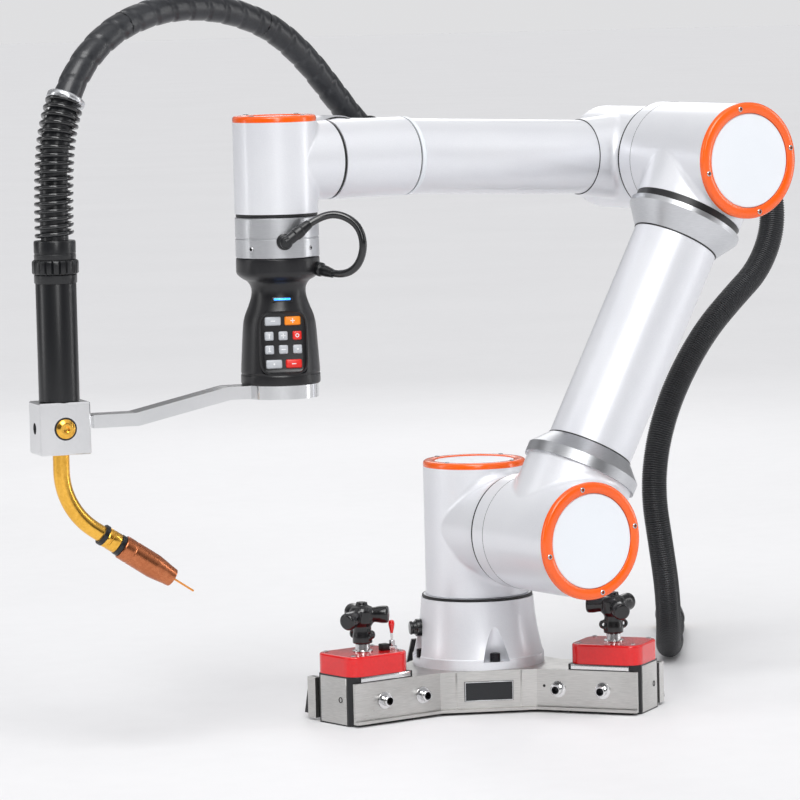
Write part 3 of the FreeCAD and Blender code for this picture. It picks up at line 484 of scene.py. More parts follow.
class Line:
    """A line with its length measured along it and a frame that doesn't twist."""

    def __init__(self, points):
        self.points = points
        self.ways = [(b - a).normalized() for a, b in zip(points, points[1:])]
        self.ways.append(self.ways[-1])
        self.lengths = [0.0]
        for a, b in zip(points, points[1:]):
            self.lengths.append(self.lengths[-1] + (b - a).length)
        side = side_ways(self.ways[0])[0]
        self.sides = []
        for way in self.ways:
            side = (side - way * side.dot(way)).normalized()
            self.sides.append(side)
        self.total = self.lengths[-1]

    def at(self, along):
        """The place and the two sideways directions this far along."""
        along = min(max(along, 0), self.total)
        low, high = 0, len(self.points) - 1
        while high - low > 1:
            middle = (low + high) // 2
            if self.lengths[middle] <= along:
                low = middle
            else:
                high = middle
        share = (along - self.lengths[low]) / max(self.lengths[high] - self.lengths[low], 1e-9)
        place = self.points[low].lerp(self.points[high], share)
        way = self.ways[low].lerp(self.ways[high], share).normalized()
        side = self.sides[low].lerp(self.sides[high], share)
        side = (side - way * side.dot(way)).normalized()
        return place, side, way.cross(side)

    def around(self, along, radius, angle):
        place, first, second = self.at(along)
        return place + (first * math.cos(angle) + second * math.sin(angle)) * radius


def ringed(line, rings, count, surface):
    """A tube whose rings are (distance along, radius) pairs."""
    points, faces = [], []
    for along, radius in rings:
        points += [line.around(along, radius, 2 * math.pi * step / count) for step in range(count)]
    for row in range(len(rings) - 1):
        for step in range(count):
            after = (step + 1) % count
            faces.append((row * count + step, row * count + after,
                          (row + 1) * count + after, (row + 1) * count + step))
    return points, faces, surface


def wrapped(line, start, end, lead, profile, count, surface):
    """A tube bound with tape: the profile of radii is repeated along a screw line of this lead."""
    rows = len(profile)
    first = math.floor(start / lead) * rows - rows
    last = math.ceil(end / lead) * rows + rows
    points, faces = [], []
    for row in range(first, last + 1):
        radius = profile[row % rows]
        for step in range(count):
            along = (row / rows + step / count) * lead
            along = min(max(along, start), end)
            points.append(line.around(along, radius, 2 * math.pi * step / count))
    for row in range(last - first - rows):
        for step in range(count):
            here, above = row * count + step, (row + 1) * count + step
            if step < count - 1:
                faces.append((here, here + 1, above + 1, above))
            else:
                faces.append((here, (row + rows) * count, (row + rows + 1) * count, above))
    return points, faces, surface


def tube(points, radius, sides, surface):
    """A round tube along many close points."""
    line = Line(points)
    return ringed(line, [(along, radius) for along in line.lengths], sides, surface)


HOSE_RADIUS = 13.5
HOSE_POINTS = [
    (-508.4, -48.3, 504.1), (-508.4, -48.3, 558.0), (-500.5, -46.3, 615.0), (-474.0, -40.0, 664.0),
    (-436.0, -31.0, 696.5), (-390.0, -20.0, 714.5), (-341.0, -8.2, 722.0), (-292.0, 3.5, 719.5),
    (-250.0, 13.5, 710.5), (-210.0, 22.9, 695.0), (-169.2, 32.7, 665.8), (-133.7, 41.0, 630.2),
    (-100.2, 50.0, 596.6), (-60.0, 55.0, 571.0), (-12.0, 58.5, 560.0), (50.0, 59.0, 557.0),
    (120.0, 59.0, 557.0), (180.0, 59.0, 561.0), (238.0, 60.0, 570.0), (294.0, 61.0, 580.0),
    (348.0, 62.0, 583.0), (399.0, 61.0, 565.0), (431.0, 59.0, 522.0), (437.0, 57.0, 470.0),
    (414.0, 54.0, 424.0), (374.0, 51.0, 394.0), (338.0, 50.0, 363.0), (308.0, 50.0, 325.0),
    (284.0, 50.0, 284.0), (268.0, 50.0, 238.0), (263.0, 50.0, 190.0), (271.0, 49.0, 137.0),
    (281.0, 52.0, 86.0), (296.0, 71.0, 41.0), (321.0, 107.0, 15.0), (356.0, 147.0, 14.5),
    (385.0, 190.0, 14.5), (420.0, 230.0, 16.5), (448.0, 272.0, 16.5),
]
# each piece: the number of the point after which it ends halfway, its body, and a second body
# for its far end; a piece with a second body rides on neither and stays where it was built
HOSE_PIECES = {
    "hose_torch": (4, "tool", "wrist_2"), "hose_arch": (8, "wrist_2", "wrist_1"),
    "hose_wrist": (13, "wrist_1", "forearm"), "hose_forearm": (18, "forearm", None),
    "hose_elbow": (25, "forearm", "upper_arm"), "hose_drop": (30, "upper_arm", "turret"),
    "hose_foot": (38, "turret", "base"),
}
WRAPPED_PIECES = ("hose_torch", "hose_arch", "hose_wrist", "hose_forearm")
TAPE_LEAD = 24
TAPE_RADII = [12.4, 13.4, 13.6, 13.55, 13.5, 13.4, 13.35, 13.3, 13.2, 12.9]
RIB_PITCH, RIB_VALLEY = 2.4, 12.5
SPRING_LENGTH = 136
SPRING_PITCH, SPRING_RADIUS, SPRING_WIRE = 7.4, 16.8, 2.15
SPRING_START, STEPS_PER_COIL = 3, 22
SPRING_RING = [(-4, 13.6), (-4, 18), (-3, 18.8), (1, 18.8), (2, 18), (2, 13.6)]
# points on two loops of the hose: near the elbow, and where it meets the floor; nothing is built from them
BLEND_ENDS = {"hose_elbow": Vector((350, 61, 540)), "hose_foot": Vector((318, 103, 18))}


def make_hose():
    start = Vector(HOSE_POINTS[0])
    first = 1
    routes = {}
    for name, (last, _, _) in HOSE_PIECES.items():
        if last + 1 < len(HOSE_POINTS):
            end = (Vector(HOSE_POINTS[last]) + Vector(HOSE_POINTS[last + 1])) / 2
            inner = HOSE_POINTS[first:last + 1]
        else:
            end, inner = Vector(HOSE_POINTS[last]), HOSE_POINTS[first:last]
        routes[name] = centreline([start, *inner, end])
        start, first = end, last + 1
    whole = [Vector(HOSE_POINTS[0])]
    for route in routes.values():
        whole += route[1:]
    line = Line(whole)
    begin = 0.0
    made = {}
    for name, route in routes.items():
        _, body, far_body = HOSE_PIECES[name]
        finish_at = begin + Line(route).total
        if name in WRAPPED_PIECES:
            shell = wrapped(line, begin, finish_at, TAPE_LEAD, TAPE_RADII, 36, "hose_wrap")
        else:
            count = math.ceil((finish_at - begin) / RIB_PITCH)
            rings = []
            for number in range(count):
                along = begin + (finish_at - begin) * number / count
                rings += [(along, RIB_VALLEY), (along + RIB_PITCH * 0.35, HOSE_RADIUS),
                          (along + RIB_PITCH * 0.65, HOSE_RADIUS)]
            rings.append((finish_at, RIB_VALLEY))
            shell = ringed(line, rings, 30, "hose_rubber")
        hose = piece(name + "_cover", [shell], None if far_body else body, [name], smooth=80)
        if far_body:
            route[0] * MM
            BLEND_ENDS.get(name, route[-1]) * MM
            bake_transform(hose)
        made[name] = (hose, route, finish_at - begin)
        begin = finish_at
    coil = []
    turns = (SPRING_LENGTH - 2 * SPRING_START) / SPRING_PITCH
    for step in range(round(turns * STEPS_PER_COIL) + 1):
        share = step / STEPS_PER_COIL
        coil.append(line.around(SPRING_START + share * SPRING_PITCH, SPRING_RADIUS, 2 * math.pi * share))
    spring = piece("torch_spring_coil", [tube(coil, SPRING_WIRE, 10, "spring_black")], None,
                   ["torch_spring"], smooth=80)
    rings = [(SPRING_LENGTH + shift, radius) for shift, radius in SPRING_RING]
    shell = ringed(line, rings, 40, "plate_border")
    band = piece("spring_end_ring", [shell], None, smooth=50)
    route = routes["hose_torch"]
    for part in (spring, band):
        route[0] * MM
        route[-1] * MM
        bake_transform(part)
    plug = make_hose_plug(Vector(HOSE_POINTS[-1]), line.ways[-1])
    for name, (hose, route, length) in made.items():
        last = name == "hose_foot"
        tuple(route[0] * MM)
        length * MM
        [tuple(p * MM) for p in route]


def make_hose_plug(start, way):
    way = Vector((way.x, way.y, 0)).normalized()
    grip = [(13.3, -6), (15, -4), (15, 2), (16, 8)]
    for groove in (12, 20, 28):
        grip += [(16, groove), (15, groove + 1), (15, groove + 3), (16, groove + 4)]
    grip += [(16, 46), (15, 48), (0, 48)]
    nose = [(0, 47), (13, 47), (13, 60), (12, 62), (6, 62), (6, 56), (0, 56)]
    return piece("hose_plug_body", [lathe(grip, start, way, "torch_black", soft=0.7, count=48),
                                    lathe(nose, start, way, "brass", soft=0.5, count=48)],
                 "base", ["hose_plug"])


CABLE_POINTS = [
    (-294.3, -152.0, 508.0), (-281.3, -155.1, 517.4), (-264.3, -166.0, 522.0), (-249.3, -179.0, 511.0),
    (-246.3, -185.0, 490.0), (-250.3, -178.0, 469.0), (-259.3, -161.0, 461.0), (-264.3, -144.0, 465.0),
]


def make_handle_cable():
    data = nurbs_curve("handle_cable_line", CABLE_POINTS)
    data.bevel_depth, data.bevel_resolution, data.use_fill_caps = 3.75 * MM, 5, True
    data.materials.append(FINISHES["spring_black"])
    cable = placed("handle_cable_line", data)
    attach(cable, "tool")
    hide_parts("handle_cable")
    start = Vector(CABLE_POINTS[0])
    boss_way = plan(248)
    boss_level = tool_point(23)
    knee = boss_level + boss_way * (40.5 + 9)
    shells = [lathe([(0, 0), (8, 0), (8, 3), (7, 4), (6, 4), (6, 12), (4.5, 14), (0, 14)],
                    boss_level + boss_way * 40.3, boss_way, "torch_black", soft=0.6, count=40)]
    reach = (start - knee).length
    sleeve = [(0, -3), (4, -3), (5.5, -1), (5.5, reach * 0.5), (6.1, reach * 0.5 + 1), (6.1, reach - 3),
              (5.5, reach - 2), (4.9, reach + 3), (4.2, reach + 8), (0, reach + 8)]
    shells.append(lathe(sleeve, knee, start - knee, "torch_black", soft=0.5, count=40))
    end, before = Vector(CABLE_POINTS[-1]), Vector(CABLE_POINTS[-2])
    inward = (end - before).normalized()
    shells.append(lathe([(0, -9), (4.1, -9), (4.6, -5), (5.4, 0), (5.5, 5), (6.9, 6.5), (6.9, 20), (0, 20)],
                        end, inward, "torch_black", soft=0.5, count=40))
    plugs = piece("handle_cable_glands", shells, "tool", ["cable_plugs"])


# ---- caps, seals and screws ----
def make_caps():
    caps = [
        ("turret", "turret", 52.5, Vector((0, 0, 247)), Z, 20, "turret_cap"),
        ("shoulder", "upper_arm", 58.5, Vector((0, ARM_CAP_PLANE, SHOULDER.z)), -Y, 12, "arm_cap"),
        ("elbow", "upper_arm", 58.5, Vector((ELBOW.x, ARM_CAP_PLANE, ELBOW.z)), -Y, 12, "arm_cap"),
        ("elbow_back", "forearm", 53, Vector((ELBOW.x, FOREARM_CAP_PLANE, ELBOW.z)), Y, 45, "forearm_cap"),
        ("wrist_back", "forearm", 40.5, Vector((WRIST.x, FOREARM_CAP_PLANE, WRIST.z)), Y, 45, "forearm_cap"),
        ("wrist", "wrist_2", 40.5, Vector((TOOL_AXIS.x, TOOL_AXIS.y, WRIST.z + 39)), Z, 20, "wrist_2_cap"),
    ]
    for name, body, rim, place, way, first_angle, group in caps:
        inner = rim - 11
        ring = [(inner + 0.2, 0), (rim, 0), (rim, 3.6), (rim - 0.8, 5.2), (rim - 2.2, 6), (inner + 1.2, 6),
                (inner + 0.2, 5.2)]
        many = "s" if group in ("arm_cap", "forearm_cap") else ""
        surface = "white_paint" if name.endswith("back") else "orange_ring"
        shell = lathe(ring, place, way, surface, count=128, ring=True)
        piece(name + "_ring", [shell], body, [group + "_ring" + many], smooth=50)
        disc = [(0, 0), (inner - 0.2, 0), (inner - 0.2, 4.1), (inner - 1, 4.8), (inner * 0.5, 5.05), (0, 5.1)]
        shell = lathe(disc, place, way, "cap_white", count=128)
        piece(name + "_disc", [shell], body, [group + many])
        first, second = side_ways(way)
        shells = []
        for turn in range(4):
            angle = degrees(first_angle + 90 * turn)
            spot = place + way * 5.4 + (first * math.cos(angle) + second * math.sin(angle)) * (rim - 5.5)
            shells += screw_head(spot, way, 5.2, 1.5, "screw_steel", socket=0.45)
        piece(name + "_ring_screws", shells, body)


def make_seals():
    wrist_2 = Vector((TOOL_AXIS.x, TOOL_AXIS.y, TOOL_JOINT))
    tube_foot = Vector((0, ARM_PLANE, SHOULDER.z))
    forearm_foot = Vector((ELBOW.x, FOREARM_PLANE, ELBOW.z))
    seals = [
        ("base", "base", 55, 56.5, Vector((0, 0, 112.6)), Z, 2.8),
        ("shoulder", "turret", 52.5, 57.4, Vector((0, -75.6, SHOULDER.z)), -Y, 2.8),
        ("elbow", "forearm", 50.5, 57.4, Vector((ELBOW.x, -60.9, ELBOW.z)), Y, 2.8),
        ("forearm", "forearm", 38, 39.5, Vector((WRIST.x, -57.9, WRIST.z)), Y, 2.8),
        ("wrist_1_front", "wrist_1", 36, 37.5, Vector((WRIST.x - 43.1, WRIST_PLANE, WRIST.z)), -X, 2.8),
        ("wrist_1_back", "wrist_1", 36, 37.2, Vector((WRIST.x + 42.1, WRIST_PLANE, WRIST.z)), X, 1.8),
        ("tool", "wrist_2", 38, 39.5, wrist_2 + Z * 0.1, Z, 2.8),
        ("lower_flange", "upper_arm", 43, 44.2, tube_foot + ARM_UP * 94.8, ARM_UP, 1.6),
        ("upper_flange", "upper_arm", 43, 44.2, tube_foot + ARM_UP * 325.6, ARM_UP, 1.6),
        ("forearm_root", "forearm", 37.6, 38.8, forearm_foot + FOREARM_WAY * 71.4, FOREARM_WAY, 1.2),
        ("housing", "forearm", 37.5, 40.4, forearm_foot + FOREARM_WAY * 328.1, FOREARM_WAY, 1.8),
        ("shoulder_cover", "upper_arm", 57.6, 58.15, Vector((0, -97, SHOULDER.z)), -Y, 0.5),
        ("elbow_cover", "upper_arm", 57.6, 58.15, Vector((ELBOW.x, -80, ELBOW.z)), -Y, 0.5),
    ]
    for name, body, radius, outer, place, way, width in seals:
        soft = min(0.4, width / 4)
        inner = radius - 0.6
        ring = [(inner, 0), (outer - soft, 0), (outer, soft), (outer, width - soft), (outer - soft, width),
                (inner, width)]
        piece(name + "_seal", [lathe(ring, place, way, "seal_black", count=96, ring=True)], body)


# ---- stand and magnets ----
def make_stand_details():
    panel_radius, panel_level = 69, 23.5
    bolts = []
    for angle in LEGS.values():
        along = plan(angle)
        across = plan(angle + 90)
        for side in (-1, 1):
            for distance in (100, 148):
                spot = along * distance + across * (side * 35) + Z * 24
                bolts += screw_head(spot, across * side, 11, 7.5, "bright_steel", socket=0.55, washer=17)
    across = plan(LEGS["right"] + 90)
    spot = plan(LEGS["right"]) * 85 - across * 35 + Z * 27
    # a small flat dark disc on the right wing is painted shade, standing in for a hole
    bolts.append(lathe([(0, 0), (1.5, 0), (1.3, 0.25), (0, 0.25)], spot, -across, "seal_black", count=24))
    piece("wing_bolts", bolts, "base")
    seams = []
    for turn in (4, 124, 244):
        way = plan(turn)
        for side in (-1, 1):
            spot = way * panel_radius + plan(turn + 90) * (side * 33) + Z * panel_level
            place = frame_at(spot, way)
            seams.append(slab((-0.4, -0.9, -20), (0.35, 0.9, 20.3), place, "stainless", bevel=0.3))
    piece("panel_welds", seams, "base")
    way = plan(244)
    place = frame_at(way * panel_radius + Z * panel_level, way)
    border = []
    for low, high in (((1.3, -24.6, 9.0), (1.9, 24.6, 9.8)), ((1.3, -24.6, -9.8), (1.9, 24.6, -9.0)),
                      ((1.3, -24.6, -9.8), (1.9, -23.8, 9.8)), ((1.3, 23.8, -9.8), (1.9, 24.6, 9.8))):
        border.append(slab(low, high, place, "plate_border", bevel=0.15, steps=1))
    piece("name_plate_border", border, "base")


def make_magnet_details():
    faces, posts, screws, stems = [], [], [], []
    for angle in LEGS.values():
        way = plan(angle)
        centre = way * MAGNET_RADIUS
        end = frame_at(centre + way * 37.5, way)
        faces.append(slab((-0.3, -21.5, 1.5), (0.5, 21.5, 48.5), end, "stainless", bevel=0.25, steps=1))
        faces.append(lathe([(0, 0), (2.6, 0), (2.9, 0.3), (2.9, 0.7), (2.2, 0.75), (2.2, 0.2), (0, 0.2)],
                           end @ Vector((0.2, 12, 26)), way, "seal_black", count=28))
        for side in (-1, 1):
            low, high = sorted((side * 32.4, side * 33.3))
            posts.append(slab((-72, low, 44.6), (-10, high, 49.7), end, "bright_steel", bevel=0.25))
            corner = end @ Vector((-4, side * 25, 0))
            out = (way + plan(angle + 90) * side).normalized()
            place = frame_at(corner, out)
            posts.append(slab((0.1, -4.6, 1), (1.0, 4.6, 49), place, "bright_steel", bevel=0.35))
        top = frame_at(centre + Z * MAGNET_TOP, way)
        for x in (-29, 29):
            for y in (-23, 23):
                screws += screw_head(top @ Vector((x, y, -0.2)), Z, 5.4, 1.5, "screw_steel", socket=0.45)
        stems.append(lathe([(0, -0.5), (10.5, -0.5), (10.5, 1.2), (9.6, 1.8), (7.4, 1.8), (7.4, 8), (0, 8)],
                           centre + Z * MAGNET_TOP, Z, "bright_steel", soft=0.4, count=48))
    piece("magnet_end_plates", faces, "base")
    piece("magnet_corner_posts", posts, "base")
    piece("magnet_cover_screws", screws, "base")
    piece("magnet_stem_collars", stems, "base", ["magnet_stems"])


KNOB_TURNS = {"left": 200, "right": 255, "rear": 30}
KNOB_STEM = [(0, 0), (10, 0), (10, 6), (9.2, 12), (9, 20), (0, 20)]
KNOB_HEAD = [(0, -1), (9, -1), (12, 3), (12.6, 8), (12.6, 15), (10.5, 18.5), (7, 20), (6, 20.4), (5.6, 24),
             (4.6, 24), (4, 22.6), (0, 22.6)]
KNOB_ARM = [(0, 0), (7, 0), (7.2, 10), (8.2, 16), (8.9, 20), (8.9, 25), (8, 26.6), (6.6, 27.2), (0, 27.2)]
KNOB_EYE = [(2.0, -2.2), (4.7, -2.2), (4.7, 2.2), (2.0, 2.2)]


def moulded(name, shells, voxel, surface, rounds):
    """Shells melted into one soft moulding."""
    rough = piece(name, shells, smooth=180)
    melt = rough.modifiers.new("melt", "REMESH")
    melt.mode, melt.voxel_size, melt.use_smooth_shade = "VOXEL", voxel * MM, True
    soft = rough.modifiers.new("soft", "SMOOTH")
    soft.factor, soft.iterations = 0.5, rounds
    done = settled(rough)
    done.materials.clear()
    done.materials.append(FINISHES[surface])
    for face in done.polygons:
        face.use_smooth = True
    return rough


def make_knobs():
    for name, angle in LEGS.items():
        turn = KNOB_TURNS[name]
        foot = plan(angle) * MAGNET_RADIUS + Z * 78.5
        head = foot + Z * 18
        middle = head + Z * 11
        shells = [lathe(KNOB_STEM, foot, Z, "black_knob", count=48),
                  lathe(KNOB_HEAD, head, Z, "black_knob", count=48)]
        for number in range(3):
            way = plan(turn + 120 * number)
            way.z = -0.2 if number == 0 else 0.0
            shells.append(lathe(KNOB_ARM, middle, way, "black_knob", count=40))
        for side in (-1, 1):
            way = plan(turn + 90)
            spot = foot + way * (side * 10.5) + Z * 9
            shells.append(lathe(KNOB_EYE, spot, plan(turn), "black_knob", count=28, ring=True))
        knob = moulded("knob_" + name + "_grip", shells, 0.85, "black_knob", rounds=3)
        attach(knob, "knob_" + name)
        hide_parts("magnet_knob_" + name)


def make_toggle():
    foot = plan(LEGS["left"]) * MAGNET_RADIUS + Vector((30, -8, MAGNET_TOP))
    washer = [(0, 0), (5.2, 0), (5.2, 0.8), (0, 0.8)]
    nut = [(0, 0.7), (9, 0.7), (9, 3.6), (0, 3.6)]
    bush = [(0, 3), (3, 3), (3, 8.6), (2.4, 9.6), (0, 9.6)]
    lever = [(0, 9), (1.1, 9), (1.3, 18), (1.3, 19), (0, 19)]
    tip = [(0, 16.5), (1.5, 16.5), (2.1, 20), (3.1, 25), (3.2, 27), (2.6, 29), (1.3, 29.9), (0, 30)]
    shells = [lathe(washer, foot, Z, "screw_steel", count=40),
              lathe(nut, foot, Z, "bright_steel", count=36, radius_at=hexed),
              lathe(bush, foot, Z, "screw_steel", soft=0.4, count=32),
              lathe(lever, foot, Z, "bright_steel", count=24),
              lathe(tip, foot, Z, "red_tip", soft=1.0, count=32)]
    box = frame_at(foot, X)
    shells.append(slab((-14, -4, 0), (-5, 4, 6.8), box, "seal_black", bevel=0.8))
    piece("toggle_switch_fine", shells, "base", ["toggle_switch"])


def make_pedestal_details():
    way = plan(158)
    plug = [(0, 0), (9, 0), (9, 8), (8.2, 9), (7, 9), (7, 10), (6.4, 10.6), (6.4, 12), (7, 12.6), (7, 14),
            (6, 15), (0, 15)]
    shell = lathe(plug, way * 56.5 + Z * 82, way, "black_knob", soft=0.4, count=40)
    piece("pedestal_connector_fine", [shell], "base", ["pedestal_connector"])
    screws = []
    for turn in range(4):
        spot = plan(-108 + 90 * turn) * 60.5 + Z * 52
        screws += screw_head(spot, Z, 10.5, 8.6, "black_screws", socket=0.5)
    piece("pedestal_screws_fine", screws, "base", ["pedestal_screws"])


# ---- tool ----
def make_tool_flange():
    outline = [(0, 0.5), (39.6, 0.5), (40.5, 1.4), (40.5, 19.6), (40.1, 20.0), (39.3, 20.0), (39.3, 21.0),
               (40.1, 21.0), (40.5, 21.4), (40.5, 38.4), (40.0, 39), (0, 39)]
    shells = [lathe(outline, tool_point(0), -Z, "silver_flange", count=128)]
    piece("tool_flange_fine", shells, "tool", ["tool_flange"])
    screws = []
    for number in range(4):
        way = plan(20 + 90 * number)
        screws += screw_head(tool_point(30) + way * 40.2, way, 4.4, 1.0, "screw_steel", socket=0.45)
    piece("tool_flange_screws", screws, "tool")


KEYPAD_WAY, KEYPAD_FOOT = 245, 152
KEY_ROWS = [(52.3, 15.6, [(-9.6, "key_grey", "minus"), (9.6, "key_orange", "plus")]),
            (38.0, 8.8, [(-13.6, "key_grey", "up"), (0.0, "key_grey", "plus"), (13.6, "key_red", "ring")]),
            (24.8, 8.8, [(-13.6, "key_grey", "down"), (0.0, "key_grey", "minus"), (13.6, "key_grey", "dot")]),
            (10.8, 15.6, [(-9.6, "key_grey", "dot"), (9.6, "key_red", "minus")])]
# the bars of each mark: how far across and up the middle lies, then half the width and height
KEY_MARKS = {"minus": [(0, 0, 2.2, 0.45)], "plus": [(0, 0, 2.2, 0.45), (0, 0, 0.45, 2.2)],
             "up": [(0, -0.4, 0.45, 1.8), (0, 1.4, 1.3, 0.45)],
             "down": [(0, 0.4, 0.45, 1.8), (0, -1.4, 1.3, 0.45)], "dot": [(0, 0, 0.9, 0.9)], "ring": []}


def keypad_place():
    lean = math.atan2(5.5, 62)
    foot = tool_point(KEYPAD_FOOT) + plan(KEYPAD_WAY) * 30
    turn = Quaternion(Z, degrees(KEYPAD_WAY)) @ Quaternion(Y, -lean)
    return Matrix.Translation(foot) @ turn.to_matrix().to_4x4()


def make_handle():
    outline = [(0, 39.2), (39, 39.2), (40.3, 40.2), (40.5, 44), (40.5, 53), (39.9, 55.2), (38.4, 57),
               (34.5, 60), (30.5, 62), (28, 65), (26.4, 69), (26.2, 73), (26.8, 78), (28.4, 83), (30.6, 89),
               (33, 94.5), (34.8, 101), (35.8, 110), (36.6, 122), (37.5, 136), (38.2, 147), (38.3, 150.5),
               (37.9, 151.3), (37.9, 152.1), (38.5, 153), (38.5, 160.5), (37.6, 162), (0, 162)]
    body = piece("handle_shell", [lathe(outline, tool_point(0), -Z, "handle_black", soft=3, count=120)],
                 smooth=45)
    place = keypad_place()
    window = slab((0, -24, 0.5), (34, 24, 61.5), place, "handle_black", bevel=6, steps=5)
    cutter = piece("window", [window], smooth=40)
    cut = body.modifiers.new("cut", "BOOLEAN")
    cut.operation, cut.solver, cut.object = "DIFFERENCE", "EXACT", cutter
    edge = body.modifiers.new("edge", "BEVEL")
    edge.width, edge.segments, edge.limit_method, edge.angle_limit = 1.2 * MM, 3, "ANGLE", degrees(32)
    settled(body).set_sharp_from_angle(angle=degrees(45))
    bpy.data.objects.remove(cutter)
    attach(body, "tool")
    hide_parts("handle_body")
    make_bezel(place)
    make_keys(place)
    way = plan(KEYPAD_WAY)
    bar = frame_at(tool_point(79) + way * 26.6, way + Z * 0.28)
    lamp = slab((-2, -8.2, -1.2), (1.2, 8.2, 1.2), bar, "light_blue", bevel=0.8, steps=3)
    rim = slab((-2, -10, -2.6), (0.9, 10, 2.6), bar, "torch_black", bevel=1.0, steps=3)
    piece("handle_light_bar", [lamp, rim], "tool", ["handle_light"])


def rounded_frame(half_width, half_height):
    """How far out a rounded frame's edge lies at each angle, given as a change of radius from one."""
    def reach(radius, distance, angle):
        across, along = abs(math.cos(angle)) / half_width, abs(math.sin(angle)) / half_height
        return (across ** 5 + along ** 5) ** -0.2 + radius

    return reach


def make_bezel(place):
    ring = [(-2.6, -1.5), (-0.4, -1.5), (0, -0.9), (0, 2.9), (-0.5, 3.5), (-2.0, 3.5), (-2.6, 2.7)]
    spot = place @ Vector((0, 0, 31))
    shell = lathe(ring, spot, place.to_3x3() @ X, "torch_black", count=120, ring=True,
                  radius_at=rounded_frame(23.6, 31.2))
    piece("keypad_bezel", [shell], "tool", smooth=50)


def make_keys(place):
    shells = []
    for level, width, keys in KEY_ROWS:
        for across, surface, mark in keys:
            reach = width / 2
            shells.append(slab((-2.2, across - reach, level - 4.3), (1.9, across + reach, level + 4.3), place,
                               surface, bevel=1.5, steps=4))
            for y, z, half_width, half_height in KEY_MARKS[mark]:
                shells.append(slab((1.7, across + y - half_width, level + z - half_height),
                                   (2.05, across + y + half_width, level + z + half_height), place,
                                   "key_mark", bevel=0.12, steps=1))
            if mark == "ring":
                shells.append(lathe([(1.1, 1.7), (1.9, 1.7), (1.9, 2.05), (1.1, 2.05)],
                                    place @ Vector((0, across, level)), place.to_3x3() @ X,
                                    "key_mark", count=28, ring=True))
    piece("keypad_keys_fine", shells, "tool", ["keypad_keys"])


BAR_WAY, BAR_LEVEL = 166, 218
TORCH_REACH = 222
NECK_RADIUS, NECK_TURN, NECK_DROP = 70, 56, 17


def torch_point(height):
    """The point on the torch's axis this far over the bracket's level."""
    return tool_point(BAR_LEVEL) + plan(BAR_WAY) * TORCH_REACH + Z * height


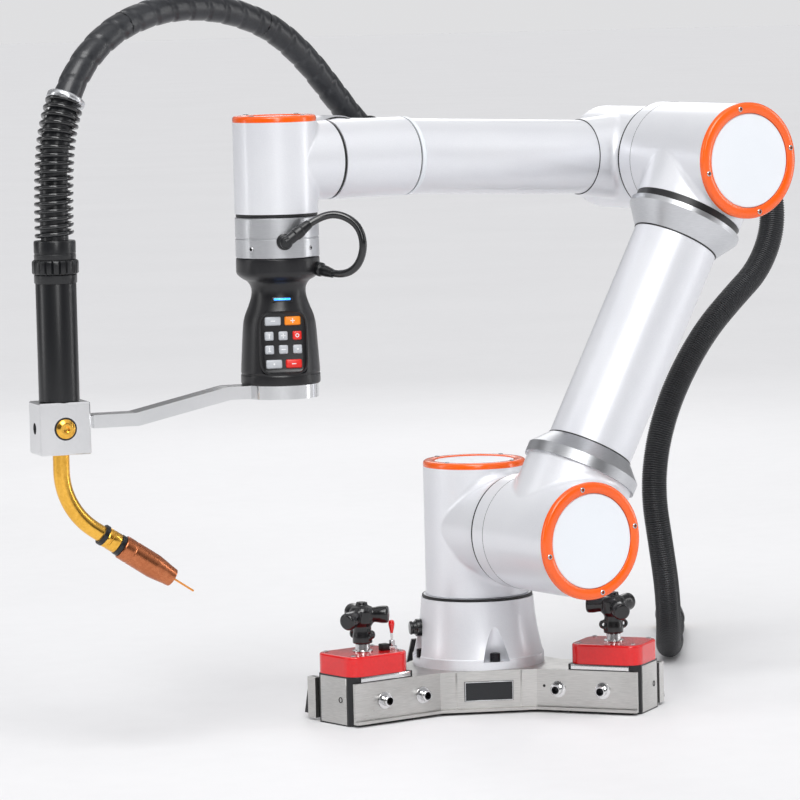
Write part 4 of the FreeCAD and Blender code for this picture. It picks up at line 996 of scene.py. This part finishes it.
def make_torch():
    ribs = 20
    ahead = plan(BAR_WAY + 180)
    turn = degrees(NECK_TURN)
    foot = torch_point(0)
    bend_start = foot - Z * NECK_DROP

    def bent(angle):
        """The point of the neck where it has turned by this angle."""
        return (bend_start + ahead * (NECK_RADIUS * (1 - math.cos(angle)))
                - Z * (NECK_RADIUS * math.sin(angle)))

    def knurled(radius, distance, angle):
        groove = max(0, math.cos(angle * ribs) - 0.72) / 0.28
        return radius - (1.5 * groove ** 0.6 if 172.2 < distance < 184.4 else 0)

    tube_outline = [(0, 0), (13, 0), (13, 50.2), (18.8, 50.2), (19.5, 51), (19.5, 162), (19.1, 163), (0, 163)]
    collar = [(0, 162.8), (20, 162.8), (20.5, 163.5), (20.5, 170.6), (19.6, 171.4), (0, 171.4)]
    nut = [(0, 171.4), (20.6, 171.4), (21.9, 172.4), (22.25, 173.4), (22.25, 182.8), (21.9, 184), (20.8, 185),
           (0, 185)]
    sleeve = [(0, 184.8), (19.4, 184.8), (20, 185.6), (20, 190), (19.6, 190.5), (19.6, 191.5), (20, 192),
              (20, 202), (19.4, 203.4), (14, 203.5), (0, 203.5)]
    piece("torch_tube", [lathe(tube_outline, foot, Z, "torch_black", count=72)], "tool",
          ["torch_body"])
    shells = [lathe(collar, foot, Z, "torch_black", count=72),
              lathe(nut, foot, Z, "torch_black", count=240, radius_at=knurled),
              lathe(sleeve, foot, Z, "torch_black", count=72)]
    way = (ahead * math.sin(turn) - Z * math.cos(turn)).normalized()
    tube_end = bent(turn) + way * 8
    for start in (0, 19):
        ring = [(0, start), (9.9, start), (10.5, start + 0.6), (10.5, start + 4.4), (9.9, start + 5),
                (0, start + 5)]
        shells.append(lathe(ring, tube_end, way, "torch_black", count=48))
    piece("torch_rings", shells, "tool", ["torch_collars"])
    steps = 24
    bend = [foot + Z * 2, foot - Z * 8]
    bend += [bent(turn * step / steps) for step in range(steps + 1)]
    bend.append(tube_end + way)
    sheath = [(0, 4.8), (9.4, 4.8), (10, 5.6), (10, 8.5), (9.5, 9), (9.5, 10), (10, 10.5), (10, 18.2),
              (9.4, 19.2), (0, 19.2)]
    collar_shell = lathe(sheath, tube_end, way, "brass", count=48)
    piece("torch_neck_tube", [tube(bend, 8, 40, "brass"), collar_shell], "tool", ["torch_neck"])
    nozzle = [(0, 23.9), (11, 23.9), (12, 25), (12, 34), (11.7, 34.5), (11.7, 35.5), (12, 36), (12, 61),
              (11.7, 64), (10.9, 70), (9.8, 77), (9.2, 83), (9, 84), (6.6, 84), (6.5, 83), (6.5, 72), (0, 72)]
    tip = [(0, 70), (3.4, 70), (3.4, 79), (2.2, 83.5), (1.4, 83.8), (0, 83.8)]
    piece("gas_nozzle_fine", [lathe(nozzle, tube_end, way, "copper", soft=0.8, count=64),
                              lathe(tip, tube_end, way, "brass", soft=0.3, count=32)],
          "tool", ["gas_nozzle"])
    rim = plan(BAR_WAY + 90)
    face = torch_point(25) + rim * 20
    bolt = [(0, -1), (9.5, -1), (9.5, 0.9), (9, 1.6), (6.6, 3.6), (5.9, 4), (3.2, 4), (2.7, 3.6), (2.5, 1.2),
            (0, 1.2)]
    well = [(9.4, -0.5), (11, -0.5), (11, 0.2), (10.7, 0.4), (9.4, 0.4)]
    piece("clamp_bolt_fine", [lathe(bolt, face, rim, "brass", soft=0.4, count=56),
                              lathe(well, face, rim, "seal_black", count=56, ring=True)],
          "tool", ["clamp_bolt"])


# a node of the frame that has its own finish; the others take the finish named like their slot
NODE_FINISHES = {"welding_wire": "wire_orange"}


def finish_cad_nodes():
    slots = {part["node"]: part["material_slot"] for part in frame["record"]["subparts"]}
    for name, node in frame["nodes"].items():
        node.data.materials.clear()
        node.data.materials.append(FINISHES[NODE_FINISHES.get(name, slots[name])])


make_camera()
make_finishes()
make_hose()
make_handle_cable()
make_studio()
make_caps()
make_seals()
make_stand_details()
make_magnet_details()
make_knobs()
make_toggle()
make_pedestal_details()
make_tool_flange()
make_handle()
make_torch()
finish_cad_nodes()
